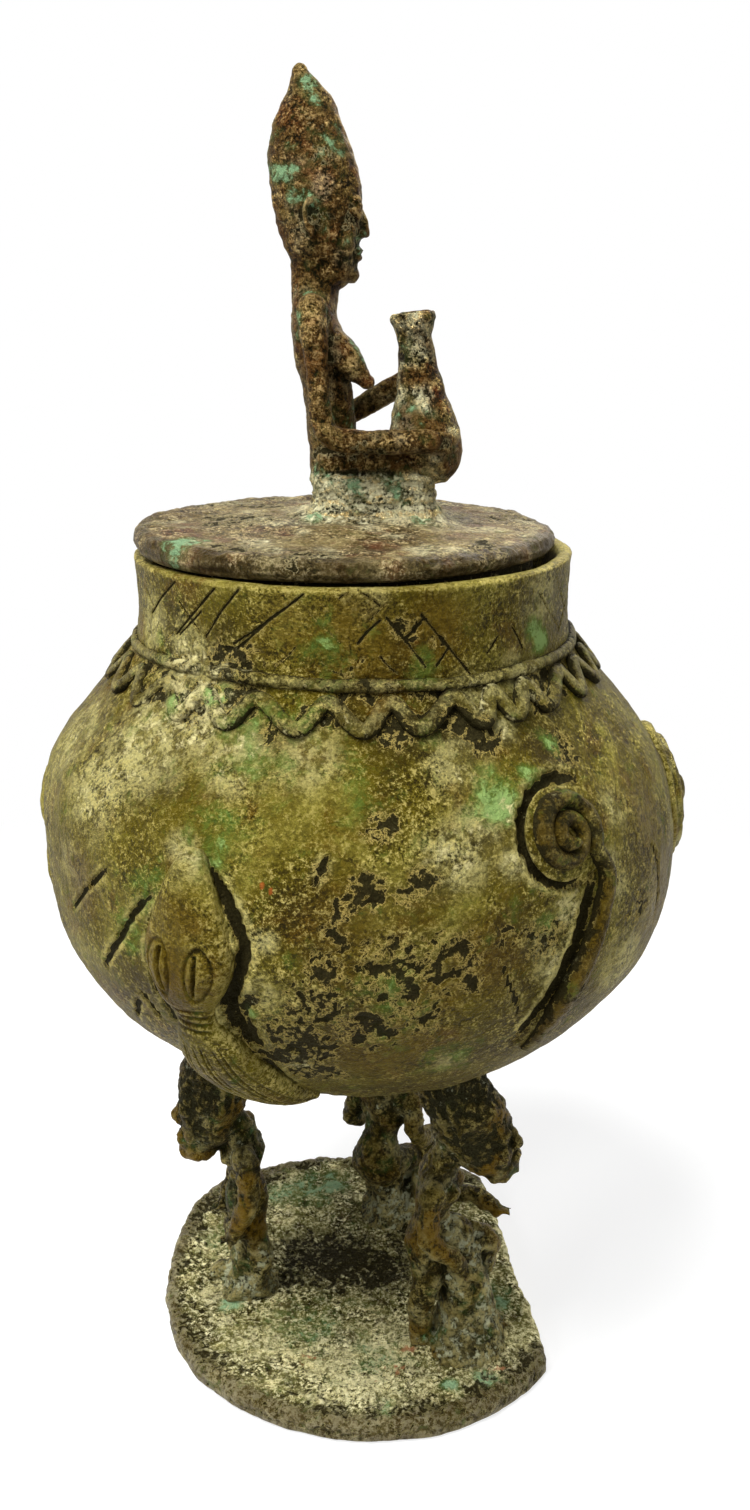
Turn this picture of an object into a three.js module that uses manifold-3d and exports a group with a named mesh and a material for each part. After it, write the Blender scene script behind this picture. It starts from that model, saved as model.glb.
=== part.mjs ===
// Bronze lidded container: a round pot carried by three standing figures, with a seated figure on its lid.
// Millimetres, +Z up. The origin lies on the pot's axis, at the underside of the base plate.
import * as THREE from "three";
import { mergeVertices } from "three/addons/utils/BufferGeometryUtils.js";
import Module from "manifold-3d";

const wasm = await Module();
wasm.setup();

// Base plate: a thick disc with one straight side
const plateRadius = 61.5;
const plateCentreX = 3.9;
const plateThickness = 6.5;
const plateEdgeRound = 1.8;
const plateStraightSideAt = 44.4; // from the plate's centre
const plateStraightSideTurn = 7.9; // degrees from +X

// Pot
const bowlUnderside = 85.8; // height of its lowest point
const bellyHeight = 149;
const bellyRadius = 83.5;
const bowlShift = 2.2; // the bowl's middle stands this far off the origin, along X
const shiftEndHeight = 186; // from here up the pot follows its neck's middle
const neckFootHeight = 206;
const neckFootRadius = 56.2;
const neckWaistRadius = 55.1;
const rimRadius = 55.8;
const neckShift = 0.7; // the neck's middle, along X
const rimHeight = 228.7;
const potWall = 4;
const shoulderBendClimb = 0.61; // share of the way up from the belly, above which the shoulder runs straight
const shoulderBendReach = 0.68; // share of the way out from the neck's foot to the belly, at that bend

// Coils laid round the neck and the shoulder
const coilWidth = 3.4;
const coilHeight = 1.7;
const coilLean = 0.3; // degrees, right side up
const neckCoilRise = 0.3; // its middle above the neck's foot
const waveCount = 27;
const waveSwing = 2.5; // up and down from its middle
const waveLowAt = -101; // azimuth of one of its low turns, in degrees
const coilStartAzimuth = -128; // the plain coil's first end, in degrees
const coilSweep = 355; // degrees from its first end to its last
const coilSpacing = 0.4; // between the neck coil and the tops of the wave

// Reliefs on the belly, by azimuth in degrees from +X and by height from the belly's widest line
const reptileAzimuth = -116.3;
const reptileSnoutHeight = 24;
const reptileHeadLength = 40;
const reptileHeadWidth = 22.5;
const reptileNeckWidth = 9.5;
const reptileBodyWidth = 23;
const reptileTailHeight = -46;
const reptileTailAzimuth = -104;
const reptileProud = 6;
const snakeAzimuth = -53.5;
const snakeDrop = 33; // its middle below the neck's foot
const snakeCoilRadius = 12;
const snakeTurns = 2.1;
const snakeProud = 4.2;
const snakeTailWidth = 5.5;
const snakeTipHeight = -37; // the tip of its tail
const rightDiscAzimuth = 1;
const rightDiscHeight = 13;
const rightDiscRadius = 19;
const rightDiscProud = 3;
const rightDiscKnobRadius = 5;
const leftBandAzimuth = 184;
const leftBandTopHeight = 22;
const leftBandBottomHeight = -18;
const leftBandWidth = 9;
const leftBandProud = 1.9;

// Lid
const lidRadius = 53;
const lidEdgeThickness = 5.6;
const lidCrown = 2; // the middle above the edge
const lidShift = -1.5; // the lid's middle, along X
const lidForward = 1.2; // the lid's middle, towards -Y
const lidRestGap = 0.35;
const ringThickness = 3;
const ringDepth = 8;
const ringClearance = 0.6;

// Seated figure on the lid, facing +X
const seatBack = -9.8;
const seatFront = 21.8;
const seatWidth = 20;
const seatHeight = 11;
const torsoBaseX = -4.6;
const shoulderHeight = 51.5; // above the lid's crown
const shoulderWidth = 23;
const torsoLean = -3.4; // the shoulders against the hips, along X
const headBottomHeight = 55;
const headTopHeight = 103.7;
const headDepth = 21.4;
const headWidth = 17.6;
const headTopLean = -3.2; // the crown against the middle of the head, along X
const headTopRadius = 2.1;
const headCentreX = -7.4;
const armRadius = 2.9;
const thighRadius = 4.2;
const breastRadius = 3.9;
const jarFootX = 20;
const jarTopX = 15.6;
const jarHeight = 41.2;
const jarBellyRadius = 9.1;
const jarNeckRadius = 4.2;
const jarSink = 3.4; // the jar's foot below the seat's top
const jarLipRadius = 5.7;
const jarMouthDepth = 3.4;

// Standing figures: place on the base plate and the way each faces, in degrees from +X. Feet, knees and
// hands are given ahead of the figure's middle, to its left and above the plate, the right one first.
const standing = [
  {
    name: "left",
    x: -33,
    y: -6,
    facing: 188,
    hips: [-1, 28],
    feet: [
      [1, -5],
      [-3, 6],
    ],
    knees: [
      [2, -5, 17],
      [-3, 6, 19],
    ],
    hands: [
      [6, -6, 24],
      [4, 7.5, 22],
    ],
    headAhead: 7.5,
    headTilt: 6,
    headLength: 44,
    beard: 0,
  },
  {
    name: "front",
    x: 24.5,
    y: -27,
    facing: -8,
    hips: [-4, 30],
    feet: [
      [-5, -5],
      [8, 6],
    ],
    knees: [
      [-4, -6, 19],
      [12, 7, 27],
    ],
    hands: [
      [8, -8, 27],
      [15, 8, 37],
    ],
    headAhead: 7,
    headTilt: 14,
    headLength: 34,
    beard: 2,
  },
  {
    name: "rear",
    x: 11,
    y: 29,
    facing: 60,
    hips: [-9, 24],
    feet: [
      [1, -7],
      [1, 7],
    ],
    knees: [
      [9, -9, 21],
      [9, 9, 21],
    ],
    hands: [
      [11, -8, 25],
      [11, 8, 25],
    ],
    headAhead: 9,
    headTilt: 3,
    headLength: 37,
    beard: 0,
  },
];
const torsoLength = 20; // hips to chest
const hipWidth = 15;
const hipDepth = 13;
const chestWidth = 19;
const chestDepth = 11.5;
const legRadius = 3.8;
const footLength = 12;
const bearerArmRadius = 2.9;
const bearerHeadDepth = 20;
const bearerHeadWidth = 18;

// Clearances
const castGap = 0.3; // between pieces that touch

const roundSteps = 44;
const degree = Math.PI / 180;

function metal(color, roughness) {
  return new THREE.MeshStandardMaterial({ color, roughness, metalness: 0.85 });
}
const oliveBrass = metal(0x6f6432, 0.55);
const brownBronze = metal(0x4a3624, 0.5);
const crustedBronze = metal(0x6d6a55, 0.8);

// The group that holds every piece
const container = new THREE.Group();

function solidOf(geometry) {
  const bare = geometry.index ? geometry.toNonIndexed() : geometry;
  bare.deleteAttribute("normal");
  bare.deleteAttribute("uv");
  const merged = mergeVertices(bare, 1e-4);
  return new wasm.Manifold(
    new wasm.Mesh({
      numProp: 3,
      vertProperties: merged.attributes.position.array,
      triVerts: new Uint32Array(merged.index.array),
    }),
  );
}

function joined(solids) {
  return solids.reduce((whole, next) => whole.add(next));
}

function addPiece(name, solid, material) {
  const mesh = solid.getMesh();
  const geometry = new THREE.BufferGeometry();
  geometry.setAttribute("position", new THREE.BufferAttribute(mesh.vertProperties, 3));
  geometry.setIndex(new THREE.BufferAttribute(mesh.triVerts, 1));
  geometry.computeVertexNormals();
  const piece = new THREE.Mesh(geometry, material);
  piece.name = name;
  container.add(piece);
  return piece;
}

// A revolved solid about the Z axis from points [radius, height] that run bottom to top outside.
// The middle of each round may lie off the axis, by a function of its height.
function revolved(profile, steps = roundSteps, middleAt = () => 0) {
  const points = profile.map(([r, z]) => new THREE.Vector2(Math.max(r, 0), z));
  const lathe = new THREE.LatheGeometry(points, steps);
  lathe.rotateX(Math.PI / 2);
  const position = lathe.getAttribute("position");
  for (let i = 0; i < position.count; i++) {
    position.setX(i, position.getX(i) + middleAt(position.getZ(i)));
  }
  return solidOf(lathe);
}

// Closes a list of rings of points into a solid, with a point at each end
function skinned(rings, firstPole, lastPole) {
  const positions = [];
  const triangle = (a, b, c) => positions.push(...a.toArray(), ...b.toArray(), ...c.toArray());
  const sides = rings[0].length;
  for (let i = 0; i < sides; i++) {
    const j = (i + 1) % sides;
    triangle(firstPole, rings[0][j], rings[0][i]);
    for (let k = 0; k + 1 < rings.length; k++) {
      triangle(rings[k][i], rings[k][j], rings[k + 1][j]);
      triangle(rings[k][i], rings[k + 1][j], rings[k + 1][i]);
    }
    const last = rings[rings.length - 1];
    triangle(last[i], last[j], lastPole);
  }
  const geometry = new THREE.BufferGeometry();
  geometry.setAttribute("position", new THREE.Float32BufferAttribute(positions, 3));
  return solidOf(geometry);
}

// A limb: oval sections along a smooth line, with domed ends.
// Each station is [x, y, z, half width, half depth], with the width along Y.
function limb(stations, { sides = 8, steps = 8, domeAngles = [45], grow = 0 } = {}) {
  const line = new THREE.CatmullRomCurve3(stations.map((s) => new THREE.Vector3(s[0], s[1], s[2])));
  const size = new THREE.CatmullRomCurve3(stations.map((s) => new THREE.Vector3(s[3], s[4], 0)));
  const acrossWay = new THREE.Vector3(0, 1, 0);
  const ringAt = (t, out, share) => {
    const way = line.getTangent(t);
    const side = acrossWay.clone().addScaledVector(way, -acrossWay.dot(way)).normalize();
    const front = new THREE.Vector3().crossVectors(way, side);
    const half = size.getPoint(t);
    const end = Math.min(half.x, half.y) + grow;
    const centre = line.getPoint(t).addScaledVector(way, out * end);
    const ring = [];
    for (let i = 0; i < sides; i++) {
      const angle = (2 * Math.PI * i) / sides;
      const p = centre.clone();
      p.addScaledVector(side, Math.cos(angle) * (half.x + grow) * share);
      p.addScaledVector(front, Math.sin(angle) * (half.y + grow) * share);
      ring.push(p);
    }
    return { ring, centre };
  };
  const rings = [];
  for (const a of domeAngles) rings.push(ringAt(0, -Math.sin(a * degree), Math.cos(a * degree)).ring);
  for (let k = 0; k <= steps; k++) rings.push(ringAt(k / steps, 0, 1).ring);
  for (const a of [...domeAngles].reverse()) {
    rings.push(ringAt(1, Math.sin(a * degree), Math.cos(a * degree)).ring);
  }
  return skinned(rings, ringAt(0, -1, 0).centre, ringAt(1, 1, 0).centre);
}

// The curve between the belly and the shoulder's bend, which meets the straight stretch at its own slope
const shoulderFullness =
  (shoulderBendReach / (1 - shoulderBendClimb)) * (shoulderBendClimb / (1 - shoulderBendReach));

// Outer radius of the pot at a height: a quarter ellipse below the belly, a curve up to the shoulder's bend,
// a straight slope to the neck's foot, and a neck that draws in to its waist and opens again to the rim
function potRadiusAt(z) {
  if (z <= bellyHeight) {
    const drop = Math.min((bellyHeight - z) / (bellyHeight - bowlUnderside), 1);
    return bellyRadius * Math.sqrt(1 - drop * drop);
  }
  if (z <= neckFootHeight) {
    const climb = (z - bellyHeight) / (neckFootHeight - bellyHeight);
    const reach = bellyRadius - neckFootRadius;
    if (climb > shoulderBendClimb) {
      return neckFootRadius + (reach * shoulderBendReach * (1 - climb)) / (1 - shoulderBendClimb);
    }
    const curve = (climb / shoulderBendClimb) ** shoulderFullness;
    return bellyRadius - reach * (1 - shoulderBendReach) * curve;
  }
  const fromWaist = 2 * Math.min((z - neckFootHeight) / (rimHeight - neckFootHeight), 1) - 1;
  const endRadius = fromWaist < 0 ? neckFootRadius : rimRadius;
  return neckWaistRadius + (endRadius - neckWaistRadius) * fromWaist ** 2;
}

// The middle of the pot at a height, along X: the hand-built bowl hangs a little to the right of its neck
function potMiddleAt(z) {
  const climb = THREE.MathUtils.smoothstep(z, bellyHeight, shiftEndHeight);
  return THREE.MathUtils.lerp(bowlShift, neckShift, climb);
}

// Height of the bowl's underside over a point
function bowlBottomOver(x, y) {
  const share = Math.min(Math.hypot(x - bowlShift, y) / bellyRadius, 1);
  return bellyHeight - (bellyHeight - bowlUnderside) * Math.sqrt(1 - share * share);
}

// A point on the pot's skin, lifted off it, with the way that the skin faces there
function onPot(azimuth, z, lift = 0) {
  const step = 0.5;
  const slope = (potRadiusAt(z + step) - potRadiusAt(z - step)) / (2 * step);
  const facing = new THREE.Vector3(Math.cos(azimuth), Math.sin(azimuth), -slope).normalize();
  const r = potRadiusAt(z);
  const at = new THREE.Vector3(potMiddleAt(z) + r * Math.cos(azimuth), r * Math.sin(azimuth), z);
  return { at: at.addScaledVector(facing, lift), facing };
}

// The azimuth and height under a point near the pot's skin
function placeOnPot(p) {
  return [Math.atan2(p.y, p.x - potMiddleAt(p.z)), p.z];
}

// Outline of the pot from its lowest point to the rim, moved in by a depth
function potOutline(depth, lowSteps, highSteps, neckSteps) {
  const points = [];
  for (let i = 0; i <= lowSteps; i++) {
    const angle = (i / lowSteps) * 90 * degree;
    const z = bellyHeight - (bellyHeight - bowlUnderside - depth) * Math.cos(angle);
    points.push([(bellyRadius - depth) * Math.sin(angle), z]);
  }
  for (let i = 1; i <= highSteps; i++) {
    const z = bellyHeight + (i / highSteps) * (neckFootHeight - bellyHeight);
    points.push([potRadiusAt(z) - depth, z]);
  }
  for (let i = 1; i <= neckSteps; i++) {
    const z = neckFootHeight + (i / neckSteps) * (rimHeight - neckFootHeight);
    points.push([potRadiusAt(z) - depth, z]);
  }
  return points;
}

function makeBasePlate() {
  const half = Math.sqrt(plateRadius ** 2 - plateStraightSideAt ** 2);
  const open = Math.atan2(half, plateStraightSideAt);
  const turn = plateStraightSideTurn * degree;
  const outline = new THREE.Shape();
  const inner = plateRadius - plateEdgeRound;
  outline.absarc(0, 0, inner, turn + open, turn + 2 * Math.PI - open, false);
  outline.closePath();
  const plate = new THREE.ExtrudeGeometry(outline, {
    depth: plateThickness - 2 * plateEdgeRound,
    bevelThickness: plateEdgeRound,
    bevelSize: plateEdgeRound,
    bevelSegments: 2,
    curveSegments: 24,
  });
  plate.translate(plateCentreX, 0, plateEdgeRound);
  addPiece("base_plate", solidOf(plate), crustedBronze);
}

function makePot() {
  const outside = potOutline(0, 8, 6, 3);
  const inside = potOutline(potWall, 5, 3, 1).reverse();
  const lipSoftening = 0.8;
  const lip = [[rimRadius - potWall / 2, rimHeight + lipSoftening / 2]];
  addPiece("pot_shell", revolved([...outside, ...lip, ...inside], roundSteps, potMiddleAt), oliveBrass);
}

// Everything that the pot fills, with its clearance: what lies against the pot is cut back by this
const potClearance = revolved([...potOutline(-castGap, 8, 6, 3), [0, rimHeight]], roundSteps, potMiddleAt);

// A closed or open strip with a low arched section that lies on the pot along a path of [azimuth, height]
function laidCoil(pathAt, steps, closed) {
  const positions = [];
  const section = [
    [-0.5, 0],
    [0.5, 0],
    [0.26, 1],
    [-0.26, 1],
  ];
  const rings = [];
  const count = closed ? steps : steps + 1;
  for (let k = 0; k < count; k++) {
    const [azimuth, z] = pathAt(k / steps);
    const ahead = pathAt(k / steps + 1e-4);
    const behind = pathAt(k / steps - 1e-4);
    const skin = onPot(azimuth, z);
    const way = onPot(ahead[0], ahead[1]).at.sub(onPot(behind[0], behind[1]).at).normalize();
    const side = new THREE.Vector3().crossVectors(skin.facing, way);
    const edgeAt = (share) => {
      const p = skin.at.clone().addScaledVector(side, share * coilWidth);
      return onPot(...placeOnPot(p), castGap).at;
    };
    const from = edgeAt(-0.5);
    const to = edgeAt(0.5);
    rings.push(
      section.map(([s, h]) => from.clone().lerp(to, s + 0.5).addScaledVector(skin.facing, h * coilHeight)),
    );
  }
  const triangle = (a, b, c) => positions.push(...a.toArray(), ...b.toArray(), ...c.toArray());
  const sides = section.length;
  const spans = closed ? count : count - 1;
  for (let k = 0; k < spans; k++) {
    const here = rings[k];
    const next = rings[(k + 1) % count];
    for (let i = 0; i < sides; i++) {
      const j = (i + 1) % sides;
      triangle(here[i], here[j], next[j]);
      triangle(here[i], next[j], next[i]);
    }
  }
  if (!closed) {
    for (let i = 1; i + 1 < sides; i++) {
      triangle(rings[0][0], rings[0][i + 1], rings[0][i]);
      triangle(rings[count - 1][0], rings[count - 1][i], rings[count - 1][i + 1]);
    }
  }
  const geometry = new THREE.BufferGeometry();
  geometry.setAttribute("position", new THREE.Float32BufferAttribute(positions, 3));
  return solidOf(geometry);
}

function leanAt(azimuth, radius) {
  return radius * Math.tan(coilLean * degree) * Math.cos(azimuth);
}

function makeCoils() {
  const coilZ = neckFootHeight + neckCoilRise;
  const plain = (t) => {
    const azimuth = (coilStartAzimuth + t * coilSweep) * degree;
    return [azimuth, coilZ + leanAt(azimuth, neckFootRadius)];
  };
  addPiece("neck_coil", laidCoil(plain, 54, false), oliveBrass);
  const stepsPerWave = 6;
  const wavy = (t) => {
    const azimuth = waveLowAt * degree + t * 2 * Math.PI;
    const middle = coilZ - coilWidth - coilSpacing - waveSwing + leanAt(azimuth, neckFootRadius);
    return [azimuth, middle - waveSwing * Math.cos(waveCount * t * 2 * Math.PI)];
  };
  addPiece("wave_coil", laidCoil(wavy, waveCount * stepsPerWave, true), oliveBrass);
}

// A relief that lies on the pot: rows of [azimuth, height, lift off the skin], its underside on the skin
function relief(rows) {
  const positions = [];
  const low = rows.map((row) => row.map(([a, z]) => onPot(a, z, castGap).at));
  const high = rows.map((row) => row.map(([a, z, lift]) => onPot(a, z, castGap + lift).at));
  const quad = (a, b, c, d) => {
    positions.push(...a.toArray(), ...b.toArray(), ...c.toArray());
    positions.push(...a.toArray(), ...c.toArray(), ...d.toArray());
  };
  const n = rows.length - 1;
  const m = rows[0].length - 1;
  for (let i = 0; i < n; i++) {
    for (let j = 0; j < m; j++) {
      quad(high[i][j], high[i + 1][j], high[i + 1][j + 1], high[i][j + 1]);
      quad(low[i][j], low[i][j + 1], low[i + 1][j + 1], low[i + 1][j]);
    }
    quad(low[i][0], low[i + 1][0], high[i + 1][0], high[i][0]);
    quad(low[i + 1][m], low[i][m], high[i][m], high[i + 1][m]);
  }
  for (let j = 0; j < m; j++) {
    quad(low[0][j + 1], low[0][j], high[0][j], high[0][j + 1]);
    quad(low[n][j], low[n][j + 1], high[n][j + 1], high[n][j]);
  }
  const geometry = new THREE.BufferGeometry();
  geometry.setAttribute("position", new THREE.Float32BufferAttribute(positions, 3));
  return solidOf(geometry);
}

// Rows for a tapering band along a line of stations [azimuth in degrees, height, width, lift]
function bandRows(stations, steps, across = 6) {
  const line = new THREE.CatmullRomCurve3(
    stations.map(([a, z]) => new THREE.Vector3(a, z, 0)),
  );
  const size = new THREE.CatmullRomCurve3(
    stations.map(([, , w, lift]) => new THREE.Vector3(w, lift, 0)),
  );
  const edgeLift = 0.5;
  const rows = [];
  for (let i = 0; i <= steps; i++) {
    const t = i / steps;
    const here = line.getPoint(t);
    const skin = onPot(here.x * degree, here.y);
    const near = line.getPoint(Math.min(t + 0.01, 1));
    const far = line.getPoint(Math.max(t - 0.01, 0));
    const way = onPot(near.x * degree, near.y).at.sub(onPot(far.x * degree, far.y).at).normalize();
    const side = new THREE.Vector3().crossVectors(skin.facing, way);
    const half = size.getPoint(t);
    const row = [];
    for (let j = 0; j <= across; j++) {
      const s = (2 * j) / across - 1;
      const p = skin.at.clone().addScaledVector(side, (s * half.x) / 2);
      const arch = Math.sqrt(Math.max(1 - s * s, 0));
      row.push([...placeOnPot(p), edgeLift + (half.y - edgeLift) * arch]);
    }
    rows.push(row);
  }
  return rows;
}

function makeReptile() {
  const az = reptileAzimuth;
  const top = bellyHeight + reptileSnoutHeight;
  const neck = top - reptileHeadLength;
  const tail = bellyHeight + reptileTailHeight;
  const widest = top - 0.56 * reptileHeadLength;
  const turnIn = 0.4 * az + 0.6 * reptileTailAzimuth;
  const stations = [
    [az, top, 0.22 * reptileHeadWidth, 0.35 * reptileProud],
    [az, top - 0.22 * reptileHeadLength, 0.62 * reptileHeadWidth, 0.7 * reptileProud],
    [az, widest, reptileHeadWidth, reptileProud],
    [az, top - 0.82 * reptileHeadLength, 0.74 * reptileHeadWidth, 0.9 * reptileProud],
    [az, neck, reptileNeckWidth, 0.6 * reptileProud],
    [az + 1, 0.77 * neck + 0.23 * tail, 0.7 * reptileBodyWidth, 0.8 * reptileProud],
    [az + 4, 0.44 * neck + 0.56 * tail, reptileBodyWidth, reptileProud],
    [turnIn, 0.13 * neck + 0.87 * tail, 0.7 * reptileBodyWidth, 0.8 * reptileProud],
    [reptileTailAzimuth, tail, 0.3 * reptileBodyWidth, 0.35 * reptileProud],
  ];
  addPiece("reptile_relief", relief(bandRows(stations, 17, 6)), oliveBrass);
}

// A disc of relief round a point on the pot: rings of azimuth and height, with a lift given by the radius
function discRelief(azimuth, z, radius, liftAt, ringCount, spokes) {
  const centre = onPot(azimuth, z);
  const across = new THREE.Vector3(-Math.sin(azimuth), Math.cos(azimuth), 0);
  const along = new THREE.Vector3().crossVectors(centre.facing, across);
  const skinAt = (r, turn) => {
    const p = centre.at.clone();
    p.addScaledVector(across, r * Math.cos(turn)).addScaledVector(along, r * Math.sin(turn));
    return placeOnPot(p);
  };
  const rings = [];
  for (let k = 1; k <= ringCount; k++) {
    const r = (radius * k) / ringCount;
    const ring = [];
    for (let i = 0; i < spokes; i++) {
      const turn = (2 * Math.PI * i) / spokes;
      ring.push(onPot(...skinAt(r, turn), castGap + liftAt(r, turn)).at);
    }
    rings.unshift(ring);
  }
  const under = [];
  const underRings = 3;
  for (let k = 1; k <= underRings; k++) {
    const r = (radius * k) / underRings;
    const ring = [];
    for (let i = 0; i < spokes; i++) ring.push(onPot(...skinAt(r, (2 * Math.PI * i) / spokes), castGap).at);
    under.push(ring);
  }
  const top = onPot(azimuth, z, castGap + liftAt(0, 0)).at;
  return skinned([...under, ...rings], onPot(azimuth, z, castGap).at, top);
}

function makeSnake() {
  const azimuth = snakeAzimuth * degree;
  const z = neckFootHeight - snakeDrop;
  const rise = 2 * Math.PI * snakeTurns;
  const lift = (r, turn) => {
    const wound = (snakeTurns * r) / snakeCoilRadius - turn / (2 * Math.PI);
    const groove = 0.5 - 0.5 * Math.cos(2 * Math.PI * wound);
    const edge = r > 0.96 * snakeCoilRadius ? 0.35 : 1;
    return snakeProud * edge * (0.6 + 0.4 * groove * Math.min(1, (rise * r) / snakeCoilRadius));
  };
  const coil = discRelief(azimuth, z, snakeCoilRadius, lift, 7, 22);
  addPiece("snake_coil", coil, oliveBrass);
  const tipZ = bellyHeight + snakeTipHeight;
  const sideTurn = (snakeCoilRadius / bellyRadius / degree) * 0.9;
  const startZ = z - 1.2 * snakeCoilRadius;
  const stations = [
    [snakeAzimuth + sideTurn, startZ, snakeTailWidth, 0.7 * snakeProud],
    [snakeAzimuth + 0.85 * sideTurn, 0.8 * startZ + 0.2 * tipZ, snakeTailWidth, 0.8 * snakeProud],
    [snakeAzimuth + 0.5 * sideTurn, 0.55 * startZ + 0.45 * tipZ, 1.1 * snakeTailWidth, 0.8 * snakeProud],
    [snakeAzimuth + 0.15 * sideTurn, 0.26 * startZ + 0.74 * tipZ, 1.5 * snakeTailWidth, 0.9 * snakeProud],
    [snakeAzimuth + 0.1 * sideTurn, tipZ, 0.8 * snakeTailWidth, 0.5 * snakeProud],
  ];
  addPiece("snake_tail", relief(bandRows(stations, 12, 4)), oliveBrass);
}

function makeSideReliefs() {
  const dome = (r) => {
    const share = r / rightDiscRadius;
    const knob = r < rightDiscKnobRadius ? 0.5 : 0;
    return rightDiscProud * (knob + 0.15 + 0.85 * Math.sqrt(Math.max(1 - share * share, 0)));
  };
  const z = bellyHeight + rightDiscHeight;
  const disc = discRelief(rightDiscAzimuth * degree, z, rightDiscRadius, dome, 6, 18);
  addPiece("right_relief", disc, oliveBrass);
  const top = bellyHeight + leftBandTopHeight;
  const bottom = bellyHeight + leftBandBottomHeight;
  const stations = [
    [leftBandAzimuth, top, 0.5 * leftBandWidth, 0.4 * leftBandProud],
    [leftBandAzimuth, 0.75 * top + 0.25 * bottom, leftBandWidth, leftBandProud],
    [leftBandAzimuth, (top + bottom) / 2, 0.6 * leftBandWidth, 0.5 * leftBandProud],
    [leftBandAzimuth, 0.25 * top + 0.75 * bottom, leftBandWidth, leftBandProud],
    [leftBandAzimuth, bottom, 0.5 * leftBandWidth, 0.4 * leftBandProud],
  ];
  addPiece("left_relief", relief(bandRows(stations, 10, 4)), oliveBrass);
}

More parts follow.
